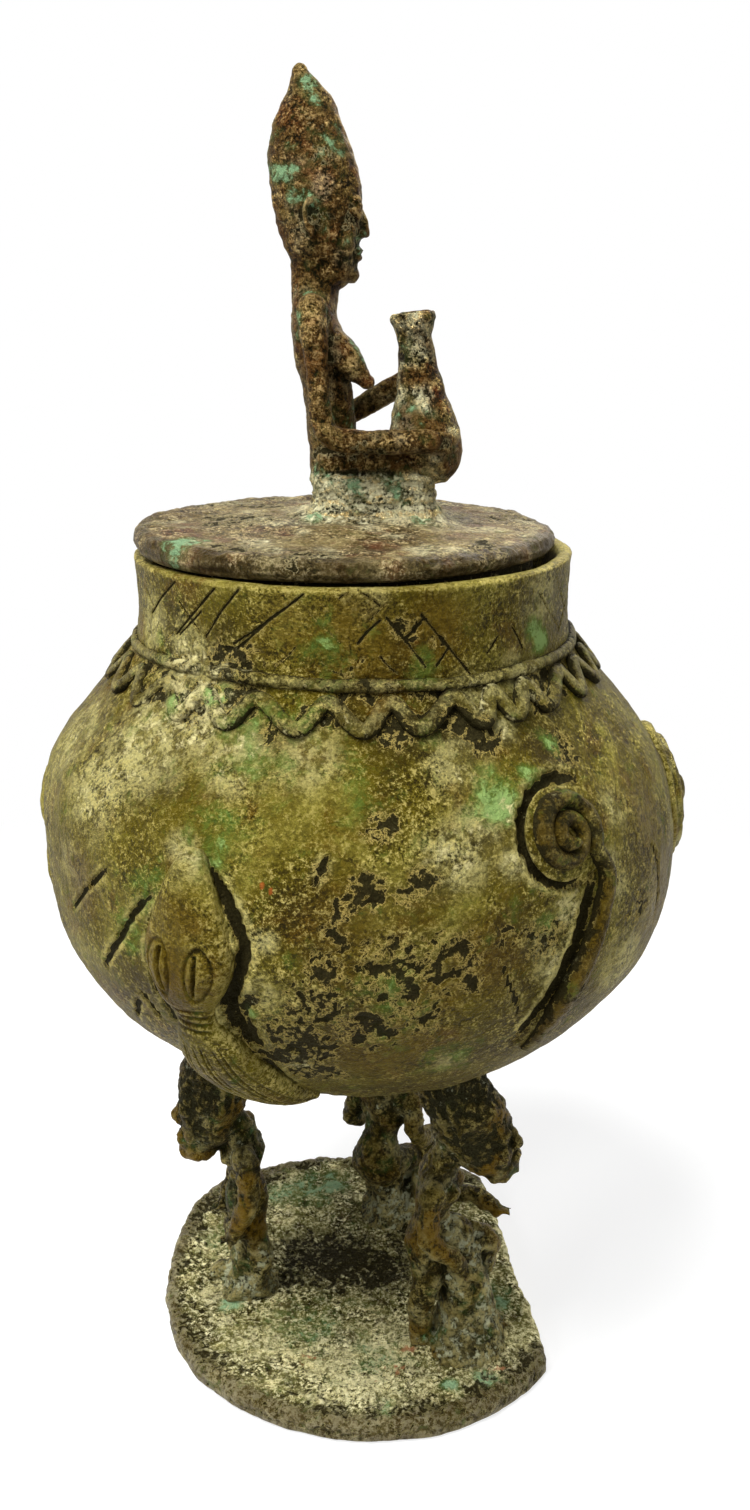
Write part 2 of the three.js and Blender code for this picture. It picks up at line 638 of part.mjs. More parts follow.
// One standing figure in its own frame: it faces +X, and the base plate's top is Z = 0
function makeBearer(figure) {
  const { name, x, y, facing, hips, feet, knees, hands, headAhead, headTilt, headLength, beard } = figure;
  const [hipX, hipZ] = hips;
  const chestX = 0.4 * hipX;
  const chestZ = hipZ + torsoLength;
  const turn = facing * degree;
  const headX = x + headAhead * Math.cos(turn);
  const headY = y + headAhead * Math.sin(turn);
  const roof = bowlBottomOver(headX, headY) - plateThickness;
  const chinZ = roof - headLength;

  const body = (grow) => {
    const neckZ = chinZ + 0.4 * headLength;
    const parts = [
      limb(
        [
          [hipX, 0, hipZ, hipWidth / 2, hipDepth / 2],
          [(hipX + chestX) / 2, 0, (hipZ + chestZ) / 2, 0.4 * hipWidth, 0.38 * hipDepth],
          [chestX, 0, chestZ, chestWidth / 2, chestDepth / 2],
          [chestX + 0.25 * headAhead, 0, chestZ + 6, 0.28 * chestWidth, 0.42 * chestDepth],
          [0.7 * headAhead, 0, Math.max(neckZ, chestZ + 9), 4.4, 4.8],
        ],
        { sides: 8, steps: 8, grow },
      ),
    ];
    for (const side of [0, 1]) {
      const [footX, footY] = feet[side];
      const [kneeX, kneeY, kneeZ] = knees[side];
      const sole = castGap + 2.3;
      parts.push(
        limb(
          [
            [hipX, 0.55 * footY, hipZ, legRadius + 0.8, legRadius + 0.8],
            [kneeX, kneeY, kneeZ, legRadius, legRadius],
            [footX, footY, sole + 1.6, 0.8 * legRadius, 0.8 * legRadius],
          ],
          { sides: 6, steps: 6, grow },
        ),
      );
      parts.push(
        limb(
          [
            [footX - 1, footY, sole, 2.9, 2.3],
            [footX + 0.5 * footLength, footY, sole - 0.4, 3.3, 1.9],
            [footX + footLength - 4, footY, sole - 0.7, 2.8, 1.5],
          ],
          { sides: 6, steps: 2, domeAngles: [40], grow },
        ),
      );
    }
    return joined(parts);
  };

  const head = (grow) => {
    const wide = bearerHeadWidth;
    const deep = bearerHeadDepth;
    const ahead = (share) => headAhead + headTilt * (0.5 - share);
    const level = (share) => chinZ + share * headLength;
    const parts = [
      limb(
        [
          [ahead(0) + 1.5, 0, level(0.14), 0.3 * wide, 0.28 * deep],
          [ahead(0.3) + 0.6, 0, level(0.32), 0.44 * wide, 0.44 * deep],
          [ahead(0.5), 0, level(0.55), wide / 2, deep / 2],
          [ahead(1), 0, level(1), 0.42 * wide, 0.42 * deep],
        ],
        { sides: 10, steps: 6, domeAngles: [60, 28], grow },
      ),
      limb(
        [
          [ahead(0.5) + 0.46 * deep, 0, level(0.56), 1.1, 1.1],
          [ahead(0.38) + 0.54 * deep, 0, level(0.36), 2.1, 1.5],
        ],
        { sides: 6, steps: 2, domeAngles: [40], grow },
      ),
    ];
    for (const side of [-1, 1]) {
      parts.push(
        limb(
          [
            [ahead(0.55) - 1, 0.47 * side * wide, level(0.56), 1.4, 2.4],
            [ahead(0.4) - 1, 0.45 * side * wide, level(0.38), 1.2, 1.8],
          ],
          { sides: 6, steps: 2, domeAngles: [40], grow },
        ),
      );
    }
    if (beard > 0) {
      parts.push(
        limb(
          [
            [ahead(0.1) + 2, 0, level(0.2), 4.2, 3.6],
            [ahead(0) + 2 + beard, 0, level(0.2) - beard, 2.2, 2],
          ],
          { sides: 6, steps: 2, domeAngles: [40], grow },
        ),
      );
    }
    return joined(parts);
  };

  const arm = (side) => {
    const out = side === 0 ? -1 : 1;
    const [handX, handY, handZ] = hands[side];
    const shoulderY = out * (chestWidth / 2 - 0.2 * bearerArmRadius);
    const elbowY = 0.4 * handY + out * 0.4 * chestWidth;
    const elbowZ = 0.4 * chestZ + 0.6 * handZ - bearerArmRadius;
    const r = bearerArmRadius;
    return limb(
      [
        [chestX - 0.14 * r, shoulderY, chestZ + 0.5 * r, 1.17 * r, 1.17 * r],
        [chestX - 0.28 * r, out * (chestWidth / 2 + 0.83 * r), (chestZ + hipZ) / 2, r, r],
        [0.5 * handX, elbowY, elbowZ, 0.92 * r, 0.92 * r],
        [handX, handY, handZ, 1.05 * r, 0.85 * r],
      ],
      { sides: 6, steps: 7 },
    );
  };

  const place = (solid) => {
    const placed = solid.rotate([0, 0, facing]).translate([x, y, plateThickness]);
    return placed.subtract(potClearance);
  };
  const bodyRoom = body(castGap);
  const headRoom = head(castGap);
  addPiece(name + "_figure_body", place(body(0)), crustedBronze);
  addPiece(name + "_figure_head", place(head(0).subtract(bodyRoom)), crustedBronze);
  addPiece(name + "_figure_right_arm", place(arm(0).subtract(bodyRoom).subtract(headRoom)), crustedBronze);
  addPiece(name + "_figure_left_arm", place(arm(1).subtract(bodyRoom).subtract(headRoom)), crustedBronze);
}

const lidUnderside = rimHeight + lidRestGap;
const lidEdgeTop = lidUnderside + lidEdgeThickness;
const lidTop = lidEdgeTop + lidCrown;

function makeLid() {
  const edge = lidEdgeThickness / 2;
  const profile = [[0, lidUnderside]];
  const edgeSteps = 4;
  for (let i = 0; i <= edgeSteps; i++) {
    const angle = (-90 + (180 * i) / edgeSteps) * degree;
    const reach = lidRadius - edge + edge * Math.cos(angle);
    profile.push([reach, lidUnderside + edge + edge * Math.sin(angle)]);
  }
  profile.push([0.74 * lidRadius, lidEdgeTop + 0.1 * lidCrown]);
  profile.push([0.56 * lidRadius, lidEdgeTop + 0.45 * lidCrown]);
  profile.push([0.42 * lidRadius, lidTop]);
  profile.push([0, lidTop]);
  addPiece("lid_plate", revolved(profile).translate([lidShift, -lidForward, 0]), brownBronze);
  const boreRadius = neckWaistRadius - potWall;
  const ringOuter = boreRadius - ringClearance - Math.hypot(lidShift - neckShift, lidForward);
  const ringTop = lidUnderside - castGap;
  const ringLead = 0.3 * ringThickness;
  const ring = revolved([
    [ringOuter - ringThickness, ringTop - ringDepth],
    [ringOuter - 0.5 * ringLead, ringTop - ringDepth],
    [ringOuter, ringTop - ringDepth + ringLead],
    [ringOuter, ringTop],
    [ringOuter - ringThickness, ringTop],
    [ringOuter - ringThickness, ringTop - ringDepth],
  ], 40);
  addPiece("locating_ring", ring.translate([lidShift, -lidForward, 0]), brownBronze);
}

// The seated figure, with heights from the lid's crown
function makeSeatedFigure() {
  const ground = lidTop + castGap;
  const seat = (grow) => {
    const middle = (seatBack + seatFront) / 2;
    const halfLong = (seatFront - seatBack) / 2;
    const halfWide = seatWidth / 2;
    const corner = 0.25 * seatWidth;
    const shape = new THREE.Shape();
    const round = 0.11 * seatHeight;
    const long = halfLong - round + grow;
    const wide = halfWide - round + grow;
    shape.moveTo(-long + corner, -wide);
    shape.lineTo(long - corner, -wide);
    shape.quadraticCurveTo(long, -wide, long, -wide + corner);
    shape.lineTo(long, wide - corner);
    shape.quadraticCurveTo(long, wide, long - corner, wide);
    shape.lineTo(-long + corner, wide);
    shape.quadraticCurveTo(-long, wide, -long, wide - corner);
    shape.lineTo(-long, -wide + corner);
    shape.quadraticCurveTo(-long, -wide, -long + corner, -wide);
    const block = new THREE.ExtrudeGeometry(shape, {
      depth: seatHeight - 2 * round,
      bevelThickness: round + grow,
      bevelSize: round,
      bevelSegments: 2,
      curveSegments: 3,
    });
    block.translate(middle, 0, ground + round);
    return solidOf(block);
  };

  const hipZ = ground + seatHeight;
  const shoulderZ = ground + shoulderHeight;
  const neckZ = ground + headBottomHeight;
  const chestX = torsoBaseX + torsoLean;
  const torso = (grow) => {
    const wide = shoulderWidth;
    const rise = shoulderZ - hipZ;
    const level = (share) => hipZ + share * rise;
    const parts = [
      limb(
        [
          [torsoBaseX + 0.07 * wide, 0, level(-0.05), 0.35 * wide, 0.3 * wide],
          [torsoBaseX + 0.02 * wide, 0, level(0.2), 0.28 * wide, 0.27 * wide],
          [torsoBaseX - 0.04 * wide, 0, level(0.49), 0.3 * wide, 0.26 * wide],
          [chestX + 0.02 * wide, 0, level(0.78), 0.39 * wide, 0.28 * wide],
          [chestX - 0.02 * wide, 0, level(0.93), 0.42 * wide, 0.25 * wide],
          [chestX - 0.01 * wide, 0, neckZ + 0.02 * rise, 0.23 * wide, 0.26 * wide],
          [headCentreX - 0.03 * wide, 0, neckZ + 0.2 * rise, 0.21 * wide, 0.25 * wide],
        ],
        { sides: 10, steps: 10, grow },
      ),
    ];
    const kneeX = jarFootX - jarBellyRadius - 0.3 * thighRadius;
    const full = breastRadius;
    for (const side of [-1, 1]) {
      parts.push(
        limb(
          [
            [chestX + 0.09 * wide, 0.16 * side * wide, level(0.82), 0.8 * full, 0.8 * full],
            [chestX + 0.3 * wide, 0.2 * side * wide, level(0.67), full, full],
            [chestX + 0.52 * wide, 0.22 * side * wide, level(0.54), 0.55 * full, 0.45 * full],
          ],
          { sides: 6, steps: 3, domeAngles: [50, 20], grow },
        ),
        limb(
          [
            [torsoBaseX, 0.18 * side * wide, hipZ + 0.5 * thighRadius, thighRadius, thighRadius],
            [kneeX, 0.2 * side * wide, hipZ + 0.55 * thighRadius, thighRadius, 0.9 * thighRadius],
          ],
          { sides: 8, steps: 1, domeAngles: [45], grow },
        ),
      );
    }
    return joined(parts);
  };

  const head = (grow) => {
    const topZ = ground + headTopHeight;
    const long = topZ - neckZ;
    const parts = [
      limb(
        [
          [headCentreX + 2.4, 0, neckZ + 0.09 * long, 0.32 * headWidth, 0.34 * headDepth],
          [headCentreX + 1.2, 0, neckZ + 0.24 * long, 0.44 * headWidth, 0.46 * headDepth],
          [headCentreX, 0, neckZ + 0.43 * long, headWidth / 2, headDepth / 2],
          [headCentreX - 1.6, 0, neckZ + 0.62 * long, 0.47 * headWidth, 0.46 * headDepth],
          [headCentreX + 0.62 * headTopLean, 0, neckZ + 0.8 * long, 0.33 * headWidth, 0.33 * headDepth],
          [headCentreX + headTopLean, 0, topZ - headTopRadius, headTopRadius, headTopRadius],
        ],
        { sides: 10, steps: 11, domeAngles: [60, 28], grow },
      ),
    ];
    const browZ = neckZ + 0.46 * long;
    const faceX = headCentreX + 0.47 * headDepth;
    const earX = headCentreX - 0.12 * headDepth;
    const earRadius = 0.07 * headWidth;
    parts.push(
      limb(
        [
          [faceX, 0, browZ, 0.06 * headWidth, 0.06 * headWidth],
          [faceX + 0.07 * headWidth, 0, browZ - 0.12 * long, 0.11 * headWidth, 0.08 * headWidth],
        ],
        { sides: 6, steps: 2, domeAngles: [40], grow },
      ),
    );
    for (const side of [-1, 1]) {
      parts.push(
        limb(
          [
            [earX, side * 0.47 * headWidth, browZ + 0.03 * long, earRadius, 2 * earRadius],
            [earX, side * 0.46 * headWidth, browZ - 0.08 * long, 0.8 * earRadius, 1.4 * earRadius],
          ],
          { sides: 6, steps: 2, domeAngles: [40], grow },
        ),
      );
    }
    return joined(parts);
  };

  const jarGround = ground + seatHeight - jarSink;
  const jarLean = Math.atan2(jarTopX - jarFootX, jarHeight);
  const jar = (grow) => {
    const g = grow;
    const inner = 0.62 * jarNeckRadius - grow;
    const profile = [
      [0, -g],
      [0.5 * jarBellyRadius, -g],
      [0.86 * jarBellyRadius + g, 0.09 * jarHeight],
      [jarBellyRadius + g, 0.25 * jarHeight],
      [0.86 * jarBellyRadius + g, 0.4 * jarHeight],
      [0.62 * jarBellyRadius + g, 0.56 * jarHeight],
      [jarNeckRadius + g, 0.72 * jarHeight],
      [jarNeckRadius + g, 0.86 * jarHeight],
      [0.9 * jarLipRadius + g, 0.93 * jarHeight],
      [jarLipRadius + g, 0.965 * jarHeight],
      [0.91 * jarLipRadius + g, jarHeight + g],
    ];
    const mouth = [
      [1.38 * inner, jarHeight + g],
      [inner, jarHeight - jarMouthDepth],
      [0, jarHeight - jarMouthDepth],
    ];
    const closed = [[0, jarHeight + g]];
    const solid = revolved([...profile, ...(grow ? closed : mouth)], 16);
    return solid.rotate([0, jarLean / degree, 0]).translate([jarFootX, 0, jarGround]);
  };

  const arm = (side, handX, handY, handZ, elbowX, elbowZ, grow = 0) => {
    const r = armRadius;
    const out = side * shoulderWidth;
    return limb(
      [
        [chestX - 0.2 * r, 0.5 * out - side * r, shoulderZ - 0.6 * r, 1.2 * r, 1.25 * r],
        [(chestX + elbowX) / 2 - 0.3 * r, 0.5 * out, (shoulderZ + elbowZ) / 2, r, r],
        [elbowX, 0.525 * out, elbowZ + 0.35 * r, r, r],
        [(elbowX + handX) / 2, 0.475 * out, (elbowZ + handZ) / 2 - 0.2 * r, r, r],
        [handX, handY, handZ, 0.9 * r, 1.1 * r],
      ],
      { sides: 6, steps: 10, grow },
    );
  };

  const seatRoom = seat(castGap);
  const torsoRoom = torso(castGap);
  const headRoom = head(castGap);
  const jarRoom = jar(castGap);
  const nearHandY = -jarBellyRadius - 0.25 * armRadius;
  const nearHandZ = jarGround + 0.27 * jarHeight;
  const farHandY = jarNeckRadius + armRadius;
  const farHandZ = jarGround + 0.62 * jarHeight;
  const nearElbowZ = nearHandZ + 0.5 * armRadius;
  const farElbowZ = farHandZ - 3.4 * armRadius;
  const nearArm = arm(-1, jarFootX, nearHandY, nearHandZ, chestX + armRadius, nearElbowZ);
  const farArm = arm(1, jarTopX, farHandY, farHandZ, torsoBaseX + 0.7 * armRadius, farElbowZ);
  addPiece("figure_seat", seat(0).subtract(jarRoom), brownBronze);
  const seated = torso(0).subtract(seatRoom).subtract(headRoom).subtract(jarRoom);
  addPiece("figure_torso", seated, brownBronze);
  addPiece("figure_head", head(0), brownBronze);
  addPiece("figure_near_arm", nearArm.subtract(torsoRoom).subtract(jarRoom), brownBronze);
  addPiece("figure_far_arm", farArm.subtract(torsoRoom).subtract(jarRoom), brownBronze);
  addPiece("jar", jar(0), brownBronze);
}

makeBasePlate();
makePot();
makeCoils();
makeReptile();
makeSnake();
makeSideReliefs();
standing.forEach(makeBearer);
makeLid();
makeSeatedFigure();

export default container;
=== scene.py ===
import math

import bpy
import numpy as np
from mathutils import Matrix, Vector, noise


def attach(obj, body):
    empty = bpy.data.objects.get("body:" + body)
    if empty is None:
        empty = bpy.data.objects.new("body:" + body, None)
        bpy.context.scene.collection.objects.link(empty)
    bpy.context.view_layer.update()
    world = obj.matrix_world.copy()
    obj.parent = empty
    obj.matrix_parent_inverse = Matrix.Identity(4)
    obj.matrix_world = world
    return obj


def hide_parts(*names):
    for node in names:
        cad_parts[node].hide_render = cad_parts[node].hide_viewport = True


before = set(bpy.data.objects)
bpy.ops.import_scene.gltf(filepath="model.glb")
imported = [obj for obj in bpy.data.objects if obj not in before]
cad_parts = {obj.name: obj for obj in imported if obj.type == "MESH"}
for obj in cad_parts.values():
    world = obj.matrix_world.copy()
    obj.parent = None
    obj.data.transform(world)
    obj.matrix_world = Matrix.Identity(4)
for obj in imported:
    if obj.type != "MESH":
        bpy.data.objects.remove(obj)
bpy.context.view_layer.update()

mm = 0.001
print("frame loaded with", len(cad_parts), "nodes")


# Small tools

def paint(red, green, blue):
    # a colour as the eye reads it, 0 to 255, turned into light values
    def light(value):
        value = value / 255
        return value / 12.92 if value <= 0.04045 else ((value + 0.055) / 1.055) ** 2.4
    return (light(red), light(green), light(blue), 1.0)


def smoothstep(low, high, value):
    share = np.clip((value - low) / (high - low), 0, 1)
    return share * share * (3 - 2 * share)


def cloud(points, size, octaves=3, seed=0):
    # soft noise from about -1 to 1, whose lumps are about one size across
    shift = Vector((17.3, 9.1, 5.7)) * seed
    return np.array([noise.fractal(Vector(p) + shift, 1.0, 2.0, octaves) for p in np.asarray(points) / size])


def layers(points, noises):
    # noises on top of each other, each with its depth, size, octaves and seed
    return sum(depth * cloud(points, size, octaves, seed) for depth, size, octaves, seed in noises)


def patches(points, strength, low, high, size, seed, octaves=2):
    # blotches that start where the noise passes low and are full where it passes high
    return strength * smoothstep(low, high, cloud(points, size, octaves, seed))


def through(stations, share):
    # a smooth line through rows of numbers
    rows = np.array(stations, float)
    last = len(rows) - 1
    spot = np.clip(np.asarray(share, float), 0, 1) * last
    i = np.minimum(spot.astype(int), last - 1)
    f = (spot - i)[:, None]
    before, here = rows[np.maximum(i - 1, 0)], rows[i]
    after, beyond = rows[i + 1], rows[np.minimum(i + 2, last)]
    straight = 2 * here + (after - before) * f
    curve = (2 * before - 5 * here + 4 * after - beyond) * f ** 2
    return 0.5 * (straight + curve + (3 * here - before - 3 * after + beyond) * f ** 3)


def unit(vectors):
    return vectors / np.linalg.norm(vectors, axis=-1, keepdims=True)


def circle(count):
    turns = np.linspace(0, 2 * math.pi, count, endpoint=False)
    return np.stack([np.cos(turns), np.sin(turns), 0 * turns], 1)


def meshFrom(name, points, faces):
    mesh = bpy.data.meshes.new(name)
    mesh.from_pydata(np.asarray(points) * mm, [], faces)
    mesh.update()
    return mesh


def readMesh(items, field, width, kind=np.float32):
    flat = np.empty(len(items) * width, kind)
    items.foreach_get(field, flat)
    return flat.reshape(-1, width)


def coordsOf(mesh):
    return readMesh(mesh.vertices, "co", 3).astype(float) / mm


def normalsOf(mesh):
    return readMesh(mesh.vertex_normals, "vector", 3).astype(float)


def edgesOf(mesh):
    return readMesh(mesh.edges, "vertices", 2, np.int32)


def setCoords(mesh, points):
    mesh.vertices.foreach_set("co", (points * mm).astype(np.float32).ravel())
    mesh.update()


def lumpy(mesh, points, lift):
    # moves each point along its normal, and gives the new places
    points = points + normalsOf(mesh) * lift[:, None]
    setCoords(mesh, points)
    return points


def eased(points, edges, rounds):
    # each point drawn halfway towards the middle of its neighbours, a few times over
    a, b = edges.T
    count = len(points)
    links = np.bincount(a, minlength=count) + np.bincount(b, minlength=count)
    for _ in range(rounds):
        sums = [np.bincount(a, points[b, k], count) + np.bincount(b, points[a, k], count) for k in range(3)]
        points = points + 0.5 * (np.stack(sums, 1) / links[:, None] - points)
    return points


def ringFaces(rows, columns, hoop=False):
    # quads between rings of points that close round; a hoop also closes from its last ring to its first
    faces = []
    for i in range(rows - 1):
        for j in range(columns):
            a, b = i * columns + j, i * columns + (j + 1) % columns
            faces.append((a, b, b + columns, a + columns))
    if hoop:
        last = (rows - 1) * columns
        faces += [(last + j, last + (j + 1) % columns, (j + 1) % columns, j) for j in range(columns)]
    return faces


def capped(rings, lowEnd, highEnd):
    # a closed skin from rings, with a point at each end
    rows, columns = rings.shape[:2]
    points = np.concatenate([rings.reshape(-1, 3), [lowEnd], [highEnd]])
    faces = ringFaces(rows, columns)
    low, top = rows * columns, (rows - 1) * columns
    for j in range(columns):
        k = (j + 1) % columns
        faces += [(low, k, j), (low + 1, top + j, top + k)]
    return points, faces


def turned(outline, way, middleX=0, middleY=0):
    # rings round an upright axis, each from a radius and a height
    x, y, flat = way.T
    return np.array([np.stack([middleX + r * x, middleY + r * y, z + flat], 1) for r, z in outline])


def bend(angles, radius, height, wide, tall):
    # radii and heights along part of an oval, by degrees from its top
    turns = [math.radians(angle) for angle in angles]
    return [(radius + wide * math.sin(turn), height + tall * math.cos(turn)) for turn in turns]


def limb(stations, sides=20, steps=22, across=(0, 1, 0)):
    # oval sections along a smooth line, with domed ends; a station is x, y, z, half width, half depth
    rows = through(stations, np.linspace(0, 1, steps + 1))
    ways = unit(np.gradient(rows[:, :3], axis=0))
    first, last = rows[0], rows[-1]
    lowDome, highDome = min(first[3:]), min(last[3:])
    sections = [(row[:3], way, row[3:], 1.0) for row, way in zip(rows, ways)]
    for angle in (20, 42, 64, 80):
        c, s = math.cos(math.radians(angle)), math.sin(math.radians(angle))
        sections.insert(0, (first[:3] - ways[0] * s * lowDome, ways[0], first[3:], c))
        sections.append((last[:3] + ways[-1] * s * highDome, ways[-1], last[3:], c))
    x, y, _ = circle(sides).T
    rings = []
    for spot, way, (wide, deep), share in sections:
        side = unit(np.array(across) - way * (way @ across))
        front = np.cross(way, side)
        rings.append(spot + np.outer(x * wide * share, side) + np.outer(y * deep * share, front))
    return capped(np.array(rings), first[:3] - ways[0] * lowDome, last[:3] + ways[-1] * highDome)


def blob(centre, radii, sides=18):
    # an egg of clay
    heights = [math.pi * k / (sides // 2) for k in range(1, sides // 2)]
    rings = turned([(math.sin(h), -math.cos(h)) for h in heights], circle(sides))
    points, faces = capped(rings, [0, 0, -1], [0, 0, 1])
    return points * radii + centre, faces


def oneSkin(parts, voxel):
    # presses parts together like wax and gives them one skin
    points = []
    faces = []
    for partPoints, partFaces in parts:
        offset = sum(len(p) for p in points)
        points.append(partPoints)
        faces.extend(tuple(i + offset for i in f) for f in partFaces)
    rough = bpy.data.objects.new("wax", meshFrom("wax", np.concatenate(points), faces))
    bpy.context.scene.collection.objects.link(rough)
    remesh = rough.modifiers.new("oneSkin", "REMESH")
    remesh.mode = "VOXEL"
    remesh.voxel_size = voxel * mm
    remesh.adaptivity = 0
    graph = bpy.context.evaluated_depsgraph_get()
    mesh = bpy.data.meshes.new_from_object(rough.evaluated_get(graph))
    spare = rough.data
    bpy.data.objects.remove(rough)
    bpy.data.meshes.remove(spare)
    setCoords(mesh, eased(coordsOf(mesh), edgesOf(mesh), 2))
    return mesh


def placed(points, turn, move):
    # points turned about Z by degrees and moved
    return points @ np.array(Matrix.Rotation(math.radians(turn), 3, "Z")).T + move


def spotsOn(points, spots):
    # how near each point is to a list of spots: x, y, z, reach and strength
    total = np.zeros(len(points))
    for *spot, reach, strength in spots:
        away = np.linalg.norm(points - spot, axis=1)
        total = np.maximum(total, strength * smoothstep(1.5 * reach, 0.3 * reach, away))
    return total


def nearLine(points, line):
    # distance from each point to a bent line, and how far along it the nearest place lies
    line = np.asarray(line, float)
    best = np.full(len(points), 1e9)
    along = np.zeros(len(points))
    for i, (a, b) in enumerate(zip(line, line[1:])):
        way = b - a
        t = np.clip((points - a) @ way / (way @ way), 0, 1)
        away = np.linalg.norm(points - a - t[:, None] * way, axis=1)
        nearer = away < best
        best = np.where(nearer, away, best)
        along = np.where(nearer, (i + t) / (len(line) - 1), along)
    return best, along


def markHollows(mesh):
    # hollows and ridges at two sizes, kept on the points for the patina: 0.5 is flat, more is sunk
    points = coordsOf(mesh)
    normals = normalsOf(mesh)
    edges = edgesOf(mesh)
    spacing = np.linalg.norm(points[edges[:, 0]] - points[edges[:, 1]], axis=1).mean()
    # the wide mark also lets the patina paint shade into broad hollows
    for mark, reach, depth in (("hollow", 0.9, 0.12), ("wide", 3.2, 0.8)):
        rounds = int(np.clip((reach / spacing) ** 2 * 2, 2, 70))
        sunk = np.sum((eased(points, edges, rounds) - points) * normals, axis=1)
        keepMark(mesh, mark, np.clip(0.5 + 0.5 * sunk / depth, 0, 1))


def keepMark(mesh, mark, values):
    mesh.attributes.new(mark, "FLOAT", "POINT").data.foreach_set("value", values.astype(np.float32))


def addPiece(name, mesh, finish, nodes, marks=None):
    markHollows(mesh)
    for mark, values in (marks or {}).items():
        keepMark(mesh, mark, np.clip(values, 0, 1))
    mesh.shade_smooth()
    body, slot, material = finishes[finish]
    mesh.materials.append(material)
    piece = bpy.data.objects.new(name, mesh)
    bpy.context.scene.collection.objects.link(piece)
    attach(piece, body)
    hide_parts(*nodes)
    print(name, "has", len(mesh.polygons), "faces")


# Camera

shot = {
    "place": (6.1, -358.0, 289.6),
    "down": 18.17,  # degrees below level
    "roll": -0.17,
    "longSide": 36.0,
    "lens": 33.38,
}
camera = bpy.data.objects.new("camera", bpy.data.cameras.new("camera"))
bpy.context.scene.collection.objects.link(camera)
camera.data.sensor_fit = "VERTICAL"
camera.data.sensor_height = shot["longSide"]
camera.data.lens = shot["lens"]
camera.data.clip_start = 0.01
pitch = Matrix.Rotation(math.radians(90 - shot["down"]), 4, "X")
roll = Matrix.Rotation(math.radians(shot["roll"]), 4, "Z")
camera.matrix_world = Matrix.Translation(Vector(shot["place"]) * mm) @ (pitch @ roll)
bpy.context.scene.camera = camera
bpy.context.scene.view_settings.view_transform = "Standard"


# Floor, lamps and world

studio = {
    "floorSize": 8.0,  # metres
    "floorHeight": -0.0002,
    "floorColour": (0.62, 0.62, 0.62, 1),
    "seenColour": (0.34, 0.34, 0.34, 1),
    "seenGlow": 0.74,
    "fadeFrom": 0.14,  # metres from the object, where the shading starts to fade into white
    "fadeTo": 0.45,
    "worldLight": 0.22,
    "lamps": {  # place and size in metres, and power
        "overhead": ((-0.30, -0.28, 1.10), 0.6, 24.0),
        "window": ((-0.90, -0.95, 0.75), 0.4, 5.5),
        "rightFill": ((1.0, -0.5, 0.6), 0.5, 3.0),
        "back": ((0.4, 1.1, 0.8), 0.7, 5.0),
    },
}


def addNode(tree, kind, inputs=None, output=0, **settings):
    # gives the node's output; an input is another node's output or a plain value
    node = tree.nodes.new("ShaderNode" + kind)
    for key, value in settings.items():
        setattr(node, key, value)
    for key, value in (inputs or {}).items():
        if isinstance(value, bpy.types.NodeSocket):
            tree.links.new(value, node.inputs[key])
        else:
            node.inputs[key].default_value = value
    return node.outputs[output] if node.outputs else None


def emptyTree(owner):
    owner.use_nodes = True
    owner.node_tree.nodes.clear()
    return owner.node_tree


def seenFactor(tree):
    # 1 for what the camera, a mirror or a glass looks at
    rays = tree.nodes.new("ShaderNodeLightPath").outputs
    seen = addNode(tree, "Math", {0: rays["Is Camera Ray"], 1: rays["Is Glossy Ray"]}, operation="MAXIMUM")
    return addNode(tree, "Math", {0: seen, 1: rays["Is Transmission Ray"]}, operation="MAXIMUM")


def makeFloor():
    half = studio["floorSize"] / 2
    mesh = bpy.data.meshes.new("floor")
    corners = [(-half, -half, 0), (half, -half, 0), (half, half, 0), (-half, half, 0)]
    mesh.from_pydata(corners, [], [(0, 1, 2, 3)])
    floor = bpy.data.objects.new("floor", mesh)
    floor.location.z = studio["floorHeight"]
    bpy.context.scene.collection.objects.link(floor)
    material = bpy.data.materials.new("paperWhite")
    tree = emptyTree(material)
    plain = addNode(tree, "BsdfDiffuse", {"Color": studio["floorColour"]})
    seen = addNode(tree, "BsdfDiffuse", {"Color": studio["seenColour"]})
    glow = addNode(tree, "Emission", {"Strength": studio["seenGlow"]})
    both = addNode(tree, "AddShader", {0: seen, 1: glow})
    white = addNode(tree, "Emission", {"Strength": 1.0})
    place = addNode(tree, "TexCoord", output="Object")
    away = addNode(tree, "VectorMath", {0: place}, "Value", operation="LENGTH")
    edges = {"Value": away, "From Min": studio["fadeFrom"], "From Max": studio["fadeTo"]}
    fade = addNode(tree, "MapRange", edges, interpolation_type="SMOOTHSTEP")
    backdrop = addNode(tree, "MixShader", {0: fade, 1: both, 2: white})
    choice = addNode(tree, "MixShader", {0: seenFactor(tree), 1: plain, 2: backdrop})
    addNode(tree, "OutputMaterial", {"Surface": choice})
    mesh.materials.append(material)


def makeWorld():
    world = bpy.data.worlds.new("studio")
    bpy.context.scene.world = world
    tree = emptyTree(world)
    soft = addNode(tree, "Background", {"Color": (1, 1, 1, 1), "Strength": studio["worldLight"]})
    white = addNode(tree, "Background", {"Color": (1, 1, 1, 1)})
    choice = addNode(tree, "MixShader", {0: seenFactor(tree), 1: soft, 2: white})
    addNode(tree, "OutputWorld", {"Surface": choice})


def makeLamps():
    target = Vector((0, 0, 0.15))
    for name, (place, size, power) in studio["lamps"].items():
        data = bpy.data.lights.new(name, "AREA")
        data.shape = "DISK"
        data.size = size
        data.energy = power
        light = bpy.data.objects.new(name, data)
        light.location = place
        light.rotation_euler = (target - Vector(place)).to_track_quat("-Z", "Y").to_euler()
        bpy.context.scene.collection.objects.link(light)


makeFloor()
makeWorld()
makeLamps()
print("stage is set")
